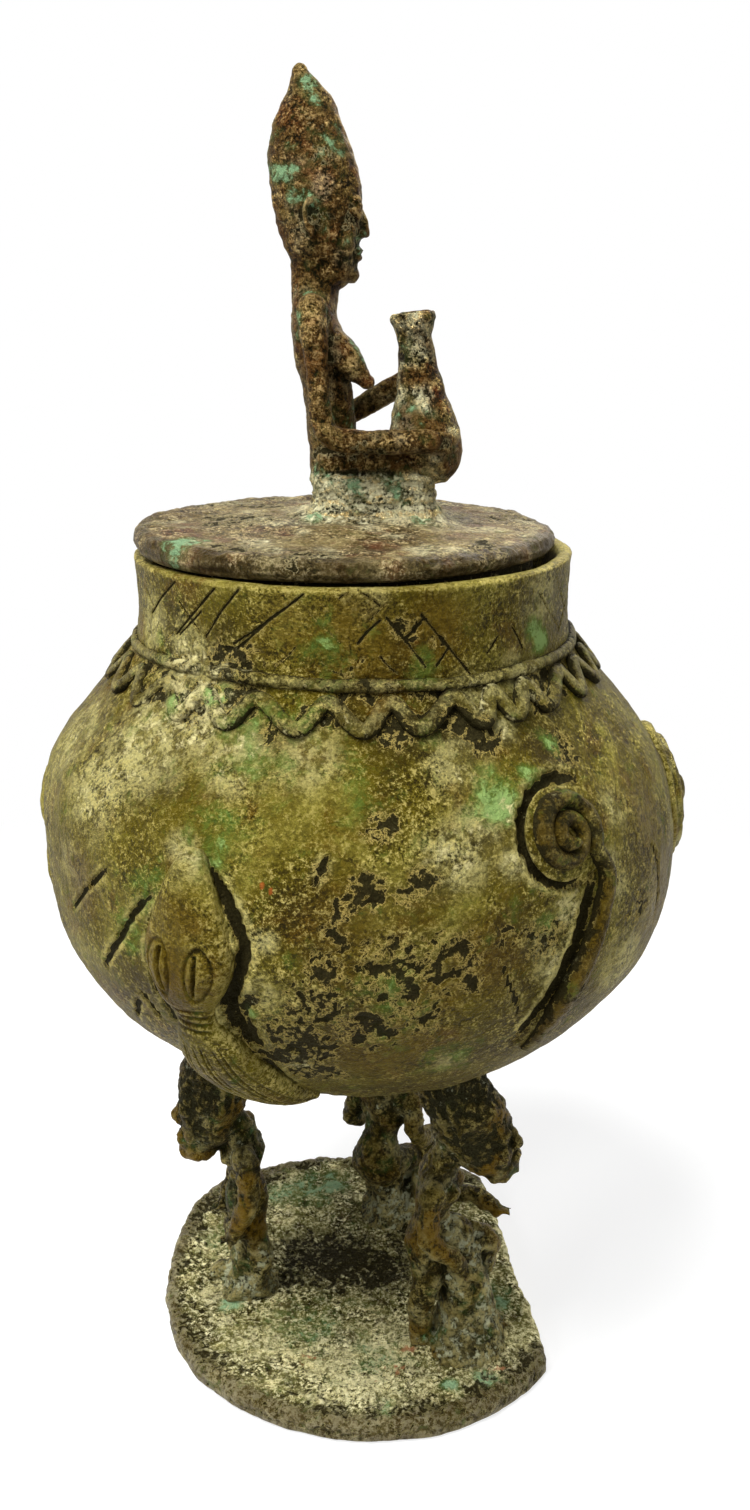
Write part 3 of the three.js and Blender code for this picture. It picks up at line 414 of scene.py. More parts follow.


# Patina: brass under stains, dark crust and painted shade, pale deposit, green corrosion, and bright grain
# with a painted glint

# colours as the eye reads them, sizes in millimetres; a finish starts where its noise passes its From
oldBrass = {
    "tones": [(54, 44, 4), (84, 74, 12), (122, 114, 46)], "toneSize": 24,
    "stain": (84, 58, 6), "stainFrom": 0.53, "stainSize": 12,
    "deep": (24, 19, 5), "deepUpTo": 0.5, "deepShare": 0.45,
    # shine: the colour of the bright grain, polished metal with a painted glint
    "shine": (188, 174, 104), "shineFrom": 0.5, "shineShare": 0.33,
    "wornTone": (84, 62, 8), "paleTone": (170, 163, 108), "darkTone": (44, 38, 20),
    "dark": (16, 14, 7), "darkGrey": (38, 35, 20), "darkFrom": 0.68, "darkSize": 3.0,
    "rim": (176, 156, 88), "rimShare": 0.85,
    "pale": (208, 198, 142), "paleFrom": 0.67, "paleSize": 2.4,
    "green": (74, 104, 40), "greenPale": (130, 158, 92), "greenFrom": 0.73, "greenSize": 6,
    "red": (142, 66, 26), "rough": 0.42, "metal": 0.25,
    "roughSize": 14, "grainSize": 0.9, "grainDepth": 0.5,
    "speckSize": 0.42, "pebbleSize": 2.0, "lumpSize": 4.6,
}
lidBrass = {
    **oldBrass,
    "tones": [(56, 40, 18), (94, 78, 44), (140, 126, 84)], "toneSize": 11,
    "stain": (84, 44, 24), "stainFrom": 0.49, "stainSize": 8,
    "deep": (16, 13, 7),
    "shine": (212, 196, 152), "shineFrom": 0.49,
    # on the lid the worn tone darkens the rim: painted shade on the lid's side, in patches of wear
    "wornTone": (44, 34, 14), "paleTone": (168, 162, 128),
    "darkFrom": 0.67,
    "rim": (160, 148, 108),
    "pale": (212, 206, 168), "paleFrom": 0.65, "paleSize": 2.0,
    "green": (56, 66, 30), "greenPale": (116, 150, 112), "greenFrom": 0.70, "greenSize": 4,
}
sitterBrass = {
    **lidBrass,
    "tones": [(28, 22, 8), (62, 50, 22), (114, 102, 58)], "toneSize": 6,
    "stain": (84, 38, 16),
    "deep": (10, 9, 4), "deepShare": 0.95,
    "shine": (216, 186, 124), "shineFrom": 0.51, "shineShare": 0.4,
    "wornTone": (72, 44, 17), "paleTone": (192, 188, 150),
    "paleFrom": 0.68,
    "green": (40, 52, 20), "greenFrom": 0.70,
    "rough": 0.26, "metal": 0.6,
    "roughSize": 7, "grainDepth": 0.5,
}
figureBrass = {
    **oldBrass,
    "tones": [(24, 20, 6), (50, 42, 12), (92, 80, 32)], "toneSize": 8,
    "stain": (84, 52, 16), "stainFrom": 0.54, "stainSize": 7,
    "deep": (12, 11, 4), "deepShare": 0.7,
    "shine": (176, 160, 96), "shineFrom": 0.51, "shineShare": 0.3,
    "wornTone": (112, 84, 14), "paleTone": (190, 182, 128), "darkTone": (26, 22, 8),
    "darkGrey": (48, 48, 32), "darkFrom": 0.66, "darkSize": 2.6,
    "rim": (104, 96, 54), "rimShare": 0.4,
    "pale": (208, 210, 172), "paleFrom": 0.64, "paleSize": 2.0,
    "green": (46, 70, 28), "greenPale": (112, 152, 108), "greenFrom": 0.75, "greenSize": 4,
    "roughSize": 8, "grainDepth": 0.6,
}
crustBrass = {
    **oldBrass,
    "tones": [(74, 66, 24), (142, 138, 76), (226, 214, 150)], "toneSize": 5.5,
    "stain": (92, 62, 24), "stainFrom": 0.55, "stainSize": 6,
    "deep": (38, 32, 11), "deepUpTo": 0.51, "deepShare": 0.55,
    "shine": (250, 244, 200), "shineFrom": 0.47, "shineShare": 0.6,
    "wornTone": (64, 44, 16), "paleTone": (236, 226, 164), "darkTone": (30, 24, 8),
    "darkGrey": (52, 46, 24), "darkFrom": 0.66, "darkSize": 2.6,
    "rim": (150, 142, 94),
    "pale": (240, 232, 178), "paleFrom": 0.60, "paleSize": 2.2,
    "green": (92, 122, 66), "greenPale": (160, 196, 152), "greenFrom": 0.72, "greenSize": 5,
    "red": (186, 120, 82), "rough": 0.7, "metal": 0.05,
    "roughSize": 9, "grainSize": 1.0, "grainDepth": 0.7,
}
grains = {  # detail, roughness, seed and twist of each noise; its size stands in the look
    "tone": (6, 0.6, 1, 0.4),
    "grain": (4, 0.72, 3, 0.2),
    "speck": (2, 0.6, 5, 0),
    "stain": (8, 0.66, 7, 0.6),
    "dark": (9, 0.72, 13, 0.5),
    "pale": (10, 0.76, 17, 0.3),
    "green": (9, 0.72, 19, 0.4),
    "lump": (7, 0.66, 23, 0),
    "rough": (6, 0.68, 29, 0.5),
    "pebble": (4, 0.6, 31, 0),
}
poreMiddle = 0.25  # what the shares of the other fields add to the pores on the whole


def patina(name, look):
    material = bpy.data.materials.new(name)
    tree = emptyTree(material)
    place = addNode(tree, "TexCoord", output="Object")

    def grain(key):
        detail, rough, seed, twist = grains[key]
        inputs = {"Vector": place, "W": seed, "Scale": 1000 / look[key + "Size"], "Detail": detail,
                  "Roughness": rough, "Distortion": twist}
        return addNode(tree, "TexNoise", inputs, "Fac", noise_dimensions="4D")

    def calc(operation, a, b):
        return addNode(tree, "Math", {0: a, 1: b}, operation=operation)

    def times(first, *others):
        for other in others:
            first = calc("MULTIPLY", first, other)
        return first

    def plus(base, *shares):
        # a field with shares of other fields added
        for field, share in shares:
            base = calc("ADD", base, times(field, share))
        return base

    def without(value):
        return calc("SUBTRACT", 1.0, value)

    def step(value, low, high, most=1.0):
        inputs = {"Value": value, "From Min": low, "From Max": high, "To Max": most}
        return addNode(tree, "MapRange", inputs, interpolation_type="SMOOTHSTEP")

    def mix(factor, a, b):
        a, b = [paint(*c) if isinstance(c, tuple) else c for c in (a, b)]
        return addNode(tree, "Mix", {0: factor, 6: a, 7: b}, 2, data_type="RGBA")

    def blend(factor, a, b):
        return addNode(tree, "Mix", {0: factor, 2: a, 3: b})

    hollow, wide, crustAndShadeMark, paleMark, greenMark, wornMark, redMark = [
        addNode(tree, "Attribute", None, "Fac", attribute_name=key)
        for key in ("hollow", "wide", "dark", "pale", "green", "worn", "red")]
    skin, speck, lumps = grain("grain"), grain("speck"), grain("lump")
    worked = step(grain("rough"), 0.44, 0.60)  # where the surface is rough
    smooth = without(times(wornMark, 0.8))

    # the metal itself, dull in its pores and bright on its grain; the bright grain's colour is partly a
    # painted glint
    # a lower tone in broad hollows: painted shade
    tone = plus(grain("tone"), (wide, -0.1))
    low, middle, high = look["tones"]
    colour = mix(step(tone, 0.30, 0.46), low, middle)
    colour = mix(step(tone, 0.44, 0.64), colour, high)
    stained = step(grain("stain"), look["stainFrom"], look["stainFrom"] + 0.14, 0.75)
    colour = mix(stained, colour, look["stain"])
    broken = calc("ADD", 0.22, step(plus(lumps, (skin, 0.3)), 0.58, 0.70, 0.68))
    colour = mix(times(paleMark, broken), colour, look["paleTone"])
    # the dark mark: dark crust, and painted shade under the bowl, in creases and under the lid
    colour = mix(times(crustAndShadeMark, 0.62), colour, look["darkTone"])
    colour = mix(times(wornMark, 0.75), colour, look["wornTone"])
    pore = plus(skin, (lumps, 0.3), (speck, 0.4), (hollow, -0.2))
    lowPore, highPore = look["deepUpTo"] + poreMiddle, look["shineFrom"] + poreMiddle
    sunk = without(step(pore, lowPore - 0.11, lowPore + 0.03))
    colour = mix(times(sunk, calc("ADD", look["deepShare"], times(worked, 0.5))), colour, look["deep"])
    brightGrainAndGlint = step(pore, highPore + 0.03, highPore + 0.16)
    brightGrainAndGlint = times(brightGrainAndGlint, calc("ADD", look["shineShare"], times(worked, 0.4)), smooth)
    colour = mix(brightGrainAndGlint, colour, look["shine"])

    # green corrosion: a wide tint, and denser flecks in it
    greenField = plus(grain("green"), (greenMark, 0.30), (hollow, 0.06))
    tint = step(greenField, look["greenFrom"] - 0.16, look["greenFrom"] + 0.05, 0.6)
    colour = mix(tint, colour, look["green"])
    fleck = step(plus(greenField, (skin, 0.25)), look["greenFrom"] + 0.12, look["greenFrom"] + 0.24, 0.8)
    colour = mix(fleck, colour, look["greenPale"])

    # dark crust with a cream rim; the same dark also paints shade, where the dark mark and the broad hollows
    # carry it
    darkField = plus(grain("dark"), (crustAndShadeMark, 0.29), (hollow, 0.16), (wide, 0.20), (skin, 0.2))
    darkFrom = look["darkFrom"] + 0.28
    inside = step(darkField, darkFrom, darkFrom + 0.02)
    rimmed = calc("SUBTRACT", step(darkField, darkFrom - 0.035, darkFrom - 0.01), inside)
    rimmed = times(rimmed, step(crustAndShadeMark, 0.1, 0.5, look["rimShare"]))
    colour = mix(rimmed, colour, look["rim"])
    dark = step(darkField, darkFrom, darkFrom + 0.05, 0.95)
    colour = mix(dark, colour, mix(step(speck, 0.35, 0.68), look["dark"], look["darkGrey"]))

    # cream deposit, as dust and as thin patches, and a few spots of red
    paleField = plus(grain("pale"), (paleMark, 0.2), (hollow, 0.14), (skin, 0.12))
    paleFrom = look["paleFrom"] + 0.13
    pale = times(step(paleField, paleFrom, paleFrom + 0.12, 0.8), smooth)
    colour = mix(pale, colour, look["pale"])
    colour = mix(step(redMark, 0.4, 0.8, 0.8), colour, look["red"])

    crust = calc("MAXIMUM", calc("MAXIMUM", dark, pale), calc("MAXIMUM", tint, rimmed))
    roughness = blend(brightGrainAndGlint, calc("ADD", look["rough"] - 0.1, times(skin, 0.26)), look["rough"] - 0.12)
    roughness = blend(crust, blend(wornMark, roughness, 0.34), 0.85)
    metallic = times(blend(brightGrainAndGlint, look["metal"], 0.75), without(crust))
    relief = plus(times(skin, 0.8), (speck, 0.3), (grain("pebble"), 0.9), (lumps, 0.9))
    relief = plus(relief, (pale, 0.15), (dark, -0.3))
    bump = addNode(tree, "Bump", {"Height": relief, "Strength": 1.0, "Distance": look["grainDepth"] * 3 * mm})
    surface = addNode(tree, "BsdfPrincipled", {
        "Base Color": colour, "Roughness": roughness, "Metallic": metallic, "Normal": bump,
        "Specular IOR Level": 0.25, "Specular Tint": paint(196, 176, 90)})
    addNode(tree, "OutputMaterial", {"Surface": surface})
    return material


finishes = {  # the body that each rides on, its slot and its patina
    "pot": ("container", "olive_brass", patina("oliveBrass", oldBrass)),
    "lid": ("lid", "brown_brass", patina("brownBrass", lidBrass)),
    "sitter": ("lid", "brown_brass", patina("sitterBrass", sitterBrass)),
    "bearer": ("container", "figure_brass", patina("figureBrass", figureBrass)),
    "plate": ("container", "crusted_brass", patina("crustedBrass", crustBrass)),
}
print("patinas are mixed")


# Pot: its form, and the places on its skin

pot = {
    "underside": 85.8,
    "belly": 149.0,
    "bellyRadius": 83.5,
    "bowlShift": 2.2,
    "shiftEnd": 186.0,
    "neckFoot": 206.0,
    "neckFootRadius": 56.2,
    "neckWaist": 55.1,
    "rimRadius": 55.8,
    "neckShift": 0.7,
    "rim": 228.7,
    "wall": 4.0,
    "bendClimb": 0.61,  # share of the way up from the belly, above which the shoulder runs straight
    "bendReach": 0.68,  # share of the way out from the neck's foot to the belly, at that bend
    "seam": 206.3,  # under the neck coil, where the fine skin of the neck meets that of the bowl
    "bowlColumns": 516,
    "neckColumns": 860,
    "rimBend": 1.1,  # height of the rounding on the rim
}
# noises have a depth, a size, octaves and a seed; patches a strength, two levels, a size and a seed
potSkin = {
    "swell": [(0.75, 42, 2, 1), (0.45, 15, 3, 2)],
    "roughPatches": (0.16, -0.15, 0.45, 34, 4),
    "pits": (0.6, 0.0, 0.45, 3.4, 6, 3),
    "neckFrom": (207, 211),  # the bowl's skin turns into the calmer one of the neck between these heights
    "wiped": 0.16,  # how far the neck's grain is drawn out sideways
    "waveDirtAndShade": (0.85, -0.3, 0.3, 5, 14),
    "waveBand": (197.5, 200, 205, 207),
    "crustAt": (-140, 203),  # azimuth and height of the crust that hides the coils at the left
    "crustDeep": 0.7,
    "lip": 0.3,  # metal pushed up beside a groove
    # the inside gets the dark mark all over: painted shade under the lid
    "inside": {"dark": 0.6},
}


def potRadius(z):
    z = np.asarray(z, float)
    drop = np.clip((pot["belly"] - z) / (pot["belly"] - pot["underside"]), 0, 1)
    bowl = pot["bellyRadius"] * np.sqrt(1 - drop ** 2)
    climb = np.clip((z - pot["belly"]) / (pot["neckFoot"] - pot["belly"]), 0, 1)
    reach = pot["bellyRadius"] - pot["neckFootRadius"]
    bendClimb, bendReach = pot["bendClimb"], pot["bendReach"]
    straight = pot["neckFootRadius"] + reach * bendReach * (1 - climb) / (1 - bendClimb)
    fullness = bendReach / (1 - bendClimb) * bendClimb / (1 - bendReach)
    curve = pot["bellyRadius"] - reach * (1 - bendReach) * (climb / bendClimb) ** fullness
    shoulder = np.where(climb > bendClimb, straight, curve)
    fromWaist = 2 * np.clip((z - pot["neckFoot"]) / (pot["rim"] - pot["neckFoot"]), 0, 1) - 1
    end = np.where(fromWaist < 0, pot["neckFootRadius"], pot["rimRadius"])
    neck = pot["neckWaist"] + (end - pot["neckWaist"]) * fromWaist ** 2
    return np.where(z <= pot["belly"], bowl, np.where(z <= pot["neckFoot"], shoulder, neck))


def potMiddle(z):
    climb = smoothstep(pot["belly"], pot["shiftEnd"], np.asarray(z, float))
    return pot["bowlShift"] + (pot["neckShift"] - pot["bowlShift"]) * climb


def onPot(azimuth, z, lift=0):
    # places on the skin, lifted off it, and the way that the skin faces there
    azimuth = np.asarray(azimuth, float)
    z = np.asarray(z, float) + 0 * azimuth
    slope = potRadius(z + 0.5) - potRadius(z - 0.5)
    facing = unit(np.stack([np.cos(azimuth), np.sin(azimuth), -slope], -1))
    radius = potRadius(z)
    place = np.stack([potMiddle(z) + radius * np.cos(azimuth), radius * np.sin(azimuth), z], -1)
    return place + facing * np.asarray(lift)[..., None], facing


def spotOnPot(points):
    return np.arctan2(points[..., 1], points[..., 0] - potMiddle(points[..., 2])), points[..., 2]


def potLine(places):
    places = np.array(places, float)
    return onPot(np.radians(places[:, 0]), places[:, 1])[0]


# Marks on the pot's skin by azimuth and height, then reach and strength
potMarks = {
    "neckLines": {
        "width": 0.55,
        "depth": 0.4,
        "cut": [  # each from one end to the other, with its strength
            (-150.9, 217.2, -137.4, 226.7, 0.8), (-138.3, 214.2, -123.6, 226.8, 1.0),
            (-136.9, 214.4, -128.5, 221.0, 0.9), (-127.4, 215.1, -116.2, 227.8, 0.8),
            (-117.7, 213.8, -100.6, 227.2, 1.0), (-118.9, 214.6, -107.0, 222.6, 1.0),
            (-88.2, 216.2, -83.1, 221.3, 0.9), (-92.4, 226.4, -89.9, 227.9, 0.6),
            (-77.4, 216.8, -72.5, 221.5, 1.0), (-69.5, 210.3, -66.2, 214.3, 1.0),
            (-85.4, 221.4, -81.7, 225.0, 0.5), (-55.5, 211.5, -52.0, 214.9, 0.7),
            (-155.5, 223.1, -148.6, 218.3, 0.5), (-136.5, 222.3, -129.4, 216.2, 0.7),
            (-101.9, 225.6, -92.6, 216.5, 0.4), (-87.5, 227.8, -83.1, 224.5, 0.9),
            (-81.6, 221.9, -72.2, 210.2, 1.0), (-73.2, 222.1, -60.6, 207.5, 1.3),
            (-47.3, 216.8, -43.4, 210.9, 0.9), (-144.0, 211.0, -138.0, 215.5, 0.4),
            (-108.0, 210.5, -103.0, 215.0, 0.4), (-83.0, 213.0, -79.0, 209.0, 0.8),
            (-97.0, 212.0, -93.5, 209.6, 0.5),
        ],
        "hidden": 22,  # more of them each way round the back
        "hiddenFrom": -24,
        "hiddenOver": 220,  # degrees
        "hiddenLow": (208.5, 214),
        "hiddenHigh": (220, 227.5),
        "lean": 15,
    },
    "scratches": [  # deep cuts left of the reptile, and a few shallow ones
        {"width": 1.2, "depth": 1.0, "line": [(-137.5, 138), (-132, 147), (-128, 156), (-123.5, 162)]},
        {"width": 1.0, "depth": 0.9, "line": [(-147, 148), (-141, 156), (-134, 164)]},
        {"width": 1.0, "depth": 0.8, "line": [(-96, 169), (-93.5, 176)]},
        {"width": 1.1, "depth": 0.8, "line": [(-136, 122), (-131, 131)]},
        {"width": 1.2, "depth": 0.9, "line": [(-129, 134), (-127, 127)]},
        {"width": 0.9, "depth": 0.4, "line": [(-68, 150), (-65, 140), (-63, 133)]},
        {"width": 0.8, "depth": 0.35, "line": [(-100, 147), (-97, 137)]},
        {"width": 0.9, "depth": 0.4, "line": [(-38, 178), (-30, 160), (-27, 142)]},
        {"width": 1.1, "depth": 0.6, "line": [(118, 180), (126, 160), (130, 150)]},
        {"width": 1.0, "depth": 0.5, "line": [(60, 176), (75, 168), (88, 166)]},
    ],
    # the undercuts are painted dark as well as cut: painted shade in them
    "undercuts": [  # deep, dark edges beside the reliefs
        {"width": 2.3, "depth": 2.3, "line": [(-113.6, 171.5), (-111.0, 166.9), (-109.3, 161.8),
            (-107.9, 156.7), (-107.6, 152.0), (-108.8, 145.5), (-111.2, 138.5), (-111.0, 132.2),
            (-109.8, 127.8)]},
        {"width": 3.6, "depth": 1.8, "line": [(-109.8, 139.8), (-109.2, 134.3), (-108.6, 128.0),
            (-108.2, 124.6)]},
        {"width": 2.4, "depth": 1.0, "line": [(-106.9, 121.5), (-106.2, 115.5), (-104.8, 110.5)]},
        {"width": 1.3, "depth": 1.0, "line": [(-120.5, 163), (-123.8, 155), (-125.2, 147), (-124.3, 138),
            (-123.0, 129)]},
        {"width": 2.1, "depth": 1.8, "line": [(-46, 184.2), (-51, 185.6), (-57, 183.8), (-61, 179),
            (-61.8, 173.5), (-60.4, 168.2), (-57, 164.6), (-52.5, 163.0)]},
        {"width": 2.7, "depth": 2.0, "line": [(-49.4, 163), (-51.5, 153.5), (-54.9, 143.2), (-58.4, 133.4),
            (-61.4, 124.2)]},
    ],
    "dark": [
        (-85, 181, 3.6, 0.8), (-94.5, 172.5, 2, 0.9), (-88, 168, 4, 0.9), (-92, 164, 3, 0.8),
        (-79, 170, 3, 0.8), (-82, 166, 3, 0.6), (-93, 158, 3, 0.8), (-84, 148, 9, 0.75), (-95, 150, 4, 0.8),
        (-76, 151, 7, 0.7), (-72, 145, 3, 0.9), (-97, 140, 6, 0.8), (-89, 135, 7, 0.85), (-80, 137, 5, 0.7),
        (-104, 124, 5, 1), (-100, 128, 8, 0.95), (-98, 118, 6, 0.8), (-108, 141, 3, 0.9),
        (-45, 190, 5, 0.5), (-68, 199.5, 3.6, 1), (-62.5, 195.7, 4, 1), (-81, 197.7, 3.6, 0.9),
        (-126, 198.5, 4, 0.7), (-135, 205, 5, 0.7), (-119, 209.3, 6, 0.8), (-88, 208.6, 4, 0.5),
        (-77, 219, 3, 0.8), (-69, 216, 2.4, 0.5), (-106, 197, 3, 0.6), (-92, 200.4, 3, 0.6),
        (-58, 165, 3, 0.8), (-44, 200, 4, 0.7), (-60, 152, 5, 0.6), (-66, 156, 4, 0.5), (-38, 150, 5, 0.5),
        (30, 150, 12, 0.8), (70, 130, 14, 0.8), (120, 165, 10, 0.7), (160, 130, 12, 0.7), (95, 190, 9, 0.6),
        (55, 175, 7, 0.7), (100, 112, 10, 0.8), (142, 150, 7, 0.7), (-5, 130, 8, 0.5), (178, 150, 8, 0.6),
    ],
    "pale": [
        (-134, 192, 14, 0.9), (-124, 200, 12, 1), (-141, 181, 12, 0.8), (-112, 192, 9, 0.8),
        (-98, 193, 8, 0.6), (-133, 208, 9, 1), (-120, 208, 5, 0.8), (-64, 171, 4, 1), (-63, 181, 4, 1),
        (-55, 158.5, 5, 1), (-45, 165, 3.5, 0.9), (-43, 158, 4, 0.8), (-40, 176, 5, 0.6),
        (-118, 174, 4, 0.8), (-74, 174, 8, 0.9), (-69, 180, 6, 0.8), (-70, 191, 8, 0.6),
        (-57, 196.5, 3.4, 1), (-38, 136, 10, 0.9), (-30, 150, 8, 0.6), (-57, 145, 6, 0.9),
        (-60, 152, 5, 0.6), (-105, 143, 5, 0.6), (-101, 121, 4, 0.9), (-104, 156, 3, 0.8),
        (-74, 121, 4, 0.6), (-60, 203, 7, 0.6), (-45, 204, 8, 0.7), (-150, 215, 7, 0.7), (-35, 222, 8, 0.7),
        (-86, 226, 5, 0.5), (-146, 160, 7, 0.5), (-160, 185, 12, 0.7), (45, 180, 16, 0.7),
        (110, 145, 14, 0.7), (150, 190, 14, 0.8), (80, 205, 10, 0.7), (20, 190, 12, 0.6), (75, 160, 9, 0.6),
        (170, 165, 12, 0.6),
    ],
    "green": [
        (-64.5, 184, 7, 1), (-36, 211, 4, 1), (-121, 203, 4, 0.9), (-131, 200, 4, 0.9), (-56, 187, 4, 0.8),
        (-47, 192, 3, 0.9), (-52.5, 181, 3, 0.9), (-107.5, 137, 2.2, 1), (-99, 199, 6, 0.6),
        (-107, 194, 12, 0.55), (-60, 155, 4, 0.5), (-38, 214, 4, 0.9), (-112, 177, 8, 0.55),
        (-125, 164, 7, 0.5), (-85, 140, 12, 0.4), (-97, 214, 8, 0.5), (-72, 210, 5, 0.6),
        (-75, 122, 9, 0.5), (-128, 150, 8, 0.5), (-88, 190, 10, 0.35), (55, 150, 9, 0.9),
        (140, 180, 10, 0.9), (100, 120, 8, 0.8), (15, 175, 8, 0.6), (85, 185, 10, 0.6),
    ],
    "red": [(-103.9, 168.7, 1.0, 1), (-102.6, 167.6, 0.9, 1), (-84, 178, 0.7, 0.7), (-74.5, 216, 1.2, 0.5)],
    "worn": [
        (-92, 160, 12, 0.6), (-90, 217, 13, 0.9), (-78, 142, 7, 0.8), (-70, 218, 10, 0.9),
        (-105, 219, 9, 0.7), (-85, 128, 14, 0.7), (-70, 150, 10, 0.7), (-28, 150, 12, 0.7),
        (-30, 170, 10, 0.6), (-142, 158, 8, 0.7), (60, 190, 12, 0.7), (130, 130, 12, 0.7),
        (20, 130, 12, 0.6),
    ],
}
darkSpread = 1.35  # dark spots reach further than they are listed


def spotsOnPot(points, spots, spread=1.0):
    # spotsOn for spots given by azimuth, height, reach and strength
    return spotsOn(points, [(*onPot(math.radians(a), z)[0], spread * r, s) for a, z, r, s in spots])


def markSpots(points, *keys):
    return {key: spotsOnPot(points, potMarks[key], darkSpread if key == "dark" else 1.0) for key in keys}


def neckLines():
    lines = potMarks["neckLines"]
    rng = np.random.default_rng(11)
    out = []
    for start, low, end, high, strength in lines["cut"]:
        bow = rng.uniform(-0.6, 0.6)
        out.append(([(start, low), ((start + end) / 2 + bow, (low + high) / 2), (end, high)], strength))
    for way in (1, -1):
        for k in range(lines["hidden"]):
            start = lines["hiddenFrom"] + lines["hiddenOver"] * (k + rng.uniform(-0.2, 0.2)) / lines["hidden"]
            lean = way * (lines["lean"] + rng.uniform(-4, 4))
            low, high = rng.uniform(*lines["hiddenLow"]), rng.uniform(*lines["hiddenHigh"])
            middle = (start + lean * rng.uniform(0.42, 0.58), (low + high) / 2)
            out.append(([(start, low), middle, (start + lean, high)], rng.uniform(0.2, 1.0)))
    return out


def weather(skin):
    # how far the skin stands off its smooth form, and the marks on it
    zs = skin[:, 2]
    azimuth = spotOnPot(skin)[0]
    marks = markSpots(skin, "dark", "pale", "green", "red", "worn")
    dark, pale = marks["dark"], marks["pale"]
    onNeck = smoothstep(*potSkin["neckFrom"], zs)
    lift = layers(skin, potSkin["swell"]) * (1 - 0.65 * onNeck)
    lift += (0.10 + patches(skin, *potSkin["roughPatches"])) * (1 - 0.5 * onNeck) * cloud(skin, 3.8, 3, 3)
    around = np.stack([np.cos(azimuth), np.sin(azimuth)], 1) * pot["neckFootRadius"] * potSkin["wiped"]
    lift += 0.07 * onNeck * cloud(np.hstack([around, zs[:, None]]), 1.3, 2, 5)
    low, lowFull, highFull, high = potSkin["waveBand"]
    inWave = smoothstep(low, lowFull, zs) * smoothstep(high, highFull, zs)
    # dirt and painted shade on the skin between the wave's loops and under the neck coil
    dark = np.maximum(dark, inWave * patches(skin, *potSkin["waveDirtAndShade"]))
    lift -= dark * patches(skin, *potSkin["pits"])
    lift += 0.22 * pale * cloud(skin, 2.2, 2, 8)
    crustTurn, crustZ = potSkin["crustAt"]
    crusted = smoothstep(16, 5, np.abs(zs - crustZ))
    crusted *= smoothstep(28, 10, np.abs(np.degrees(azimuth) - crustTurn))
    lift += potSkin["crustDeep"] * crusted * (0.5 + cloud(skin, 3.6, 3, 9))
    cut = np.zeros(len(skin))
    grooves = potMarks["neckLines"]
    for line, strength in neckLines():
        near = nearLine(skin, potLine(line))[0]
        cut = np.maximum(cut, strength * smoothstep(grooves["width"], 0.1, near))
    cut *= smoothstep(206.5, 208, zs)
    lift -= grooves["depth"] * cut
    ragged = 0.2 * cloud(skin, 1.2, 2, 12)
    wavy = cloud(skin, 2.6, 3, 10)
    for groove in potMarks["scratches"] + potMarks["undercuts"]:
        width, depth = groove["width"], groove["depth"]
        near, along = nearLine(skin, potLine(groove["line"]))
        ends = smoothstep(0, 0.15, along) * smoothstep(1, 0.85, along)
        near = near + 0.28 * width * wavy + ragged
        share = smoothstep(width, 0.4 * width, near) * (0.35 + 0.65 * ends)
        cut = np.maximum(cut, share)
        lipped = np.exp(-((near - 1.3 * width) / 0.7) ** 2) * ends * min(depth / 2, 1)
        lift += potSkin["lip"] * lipped - depth * share
        pale = np.maximum(pale, 0.9 * lipped)
    # every groove and cut is painted dark as well: dirt in the grooves, painted shade in the undercuts
    return lift, dict(marks, dark=np.maximum(dark, 1.25 * cut), pale=pale * (1 - cut))


def potPiece(outer, inner, columns):
    # one closed skin from the outside's profile and the inside's, each point a radius and a height
    profile = np.array(outer + inner)
    way = np.gradient(profile, axis=0)
    out = unit(np.stack([way[:, 1], -way[:, 0]], -1))
    place = turned(profile, circle(columns)).reshape(-1, 3)
    place[:, 0] += potMiddle(place[:, 2])
    facing = turned(out, circle(columns)).reshape(-1, 3)
    seen = len(outer) * columns
    lift, found = weather(place[:seen])
    place[:seen] += facing[:seen] * lift[:, None]
    marks = {}
    for key, values in found.items():
        marks[key] = np.append(values, np.full(len(place) - seen, potSkin["inside"].get(key, 0.0)))
    return place.reshape(-1, columns, 3), marks


def makePot():
    wall, seam, middle = pot["wall"], pot["seam"], pot["bowlShift"]
    belly, underside = pot["belly"], pot["underside"]
    depth = belly - underside
    outer = bend(np.linspace(1.2, 90, 96), 0, belly, pot["bellyRadius"], -depth)
    outer += [(float(potRadius(z)), z) for z in np.linspace(belly, seam, 61)[1:]]
    inner = [(float(potRadius(z)) - wall, z) for z in np.linspace(seam, belly, 8)]
    inner += bend(np.linspace(80, 2, 8), 0, belly, pot["bellyRadius"] - wall, wall - depth)
    rings, marks = potPiece(outer, inner, pot["bowlColumns"])
    points, faces = capped(rings, [middle, 0, underside], [middle, 0, underside + wall])
    marks = {key: np.append(values, [0, 0]) for key, values in marks.items()}
    addPiece("bowl", meshFrom("bowl", points, faces), "pot", ["pot_shell"], marks)

    rimFoot = pot["rim"] - pot["rimBend"]
    outer = [(float(potRadius(z)), z) for z in np.linspace(seam, rimFoot, 58)]
    outer += bend((65, 40, 15, -10, -35, -60), pot["rimRadius"] - wall / 2, rimFoot, wall / 2, 1)
    inner = [(float(potRadius(z)) - wall, z) for z in (pot["rim"] - 3, 221, 214, 209, seam)]
    rings, marks = potPiece(outer, inner, pot["neckColumns"])
    faces = ringFaces(len(rings), pot["neckColumns"], hoop=True)
    addPiece("neck", meshFrom("neck", rings.reshape(-1, 3), faces), "pot", ["pot_shell"], marks)


makePot()


# Strips of wax laid on the pot: coils, the snake and the wave

stripMarks = {  # strength over a strip's section, from its underside up over the crest and down again
    # dark: painted shade in the crease along the strip's foot
    "dark": [0.8, 0.8, 0.7, 0.3, 0, 0, 0, 0, 0, 0, 0, 0.3, 0.7],
    # pale: cream deposit on the crest, with a painted highlight
    "pale": [0, 0, 0, 0, 0.3, 0.5, 0.6, 0.6, 0.6, 0.5, 0.3, 0, 0],
}


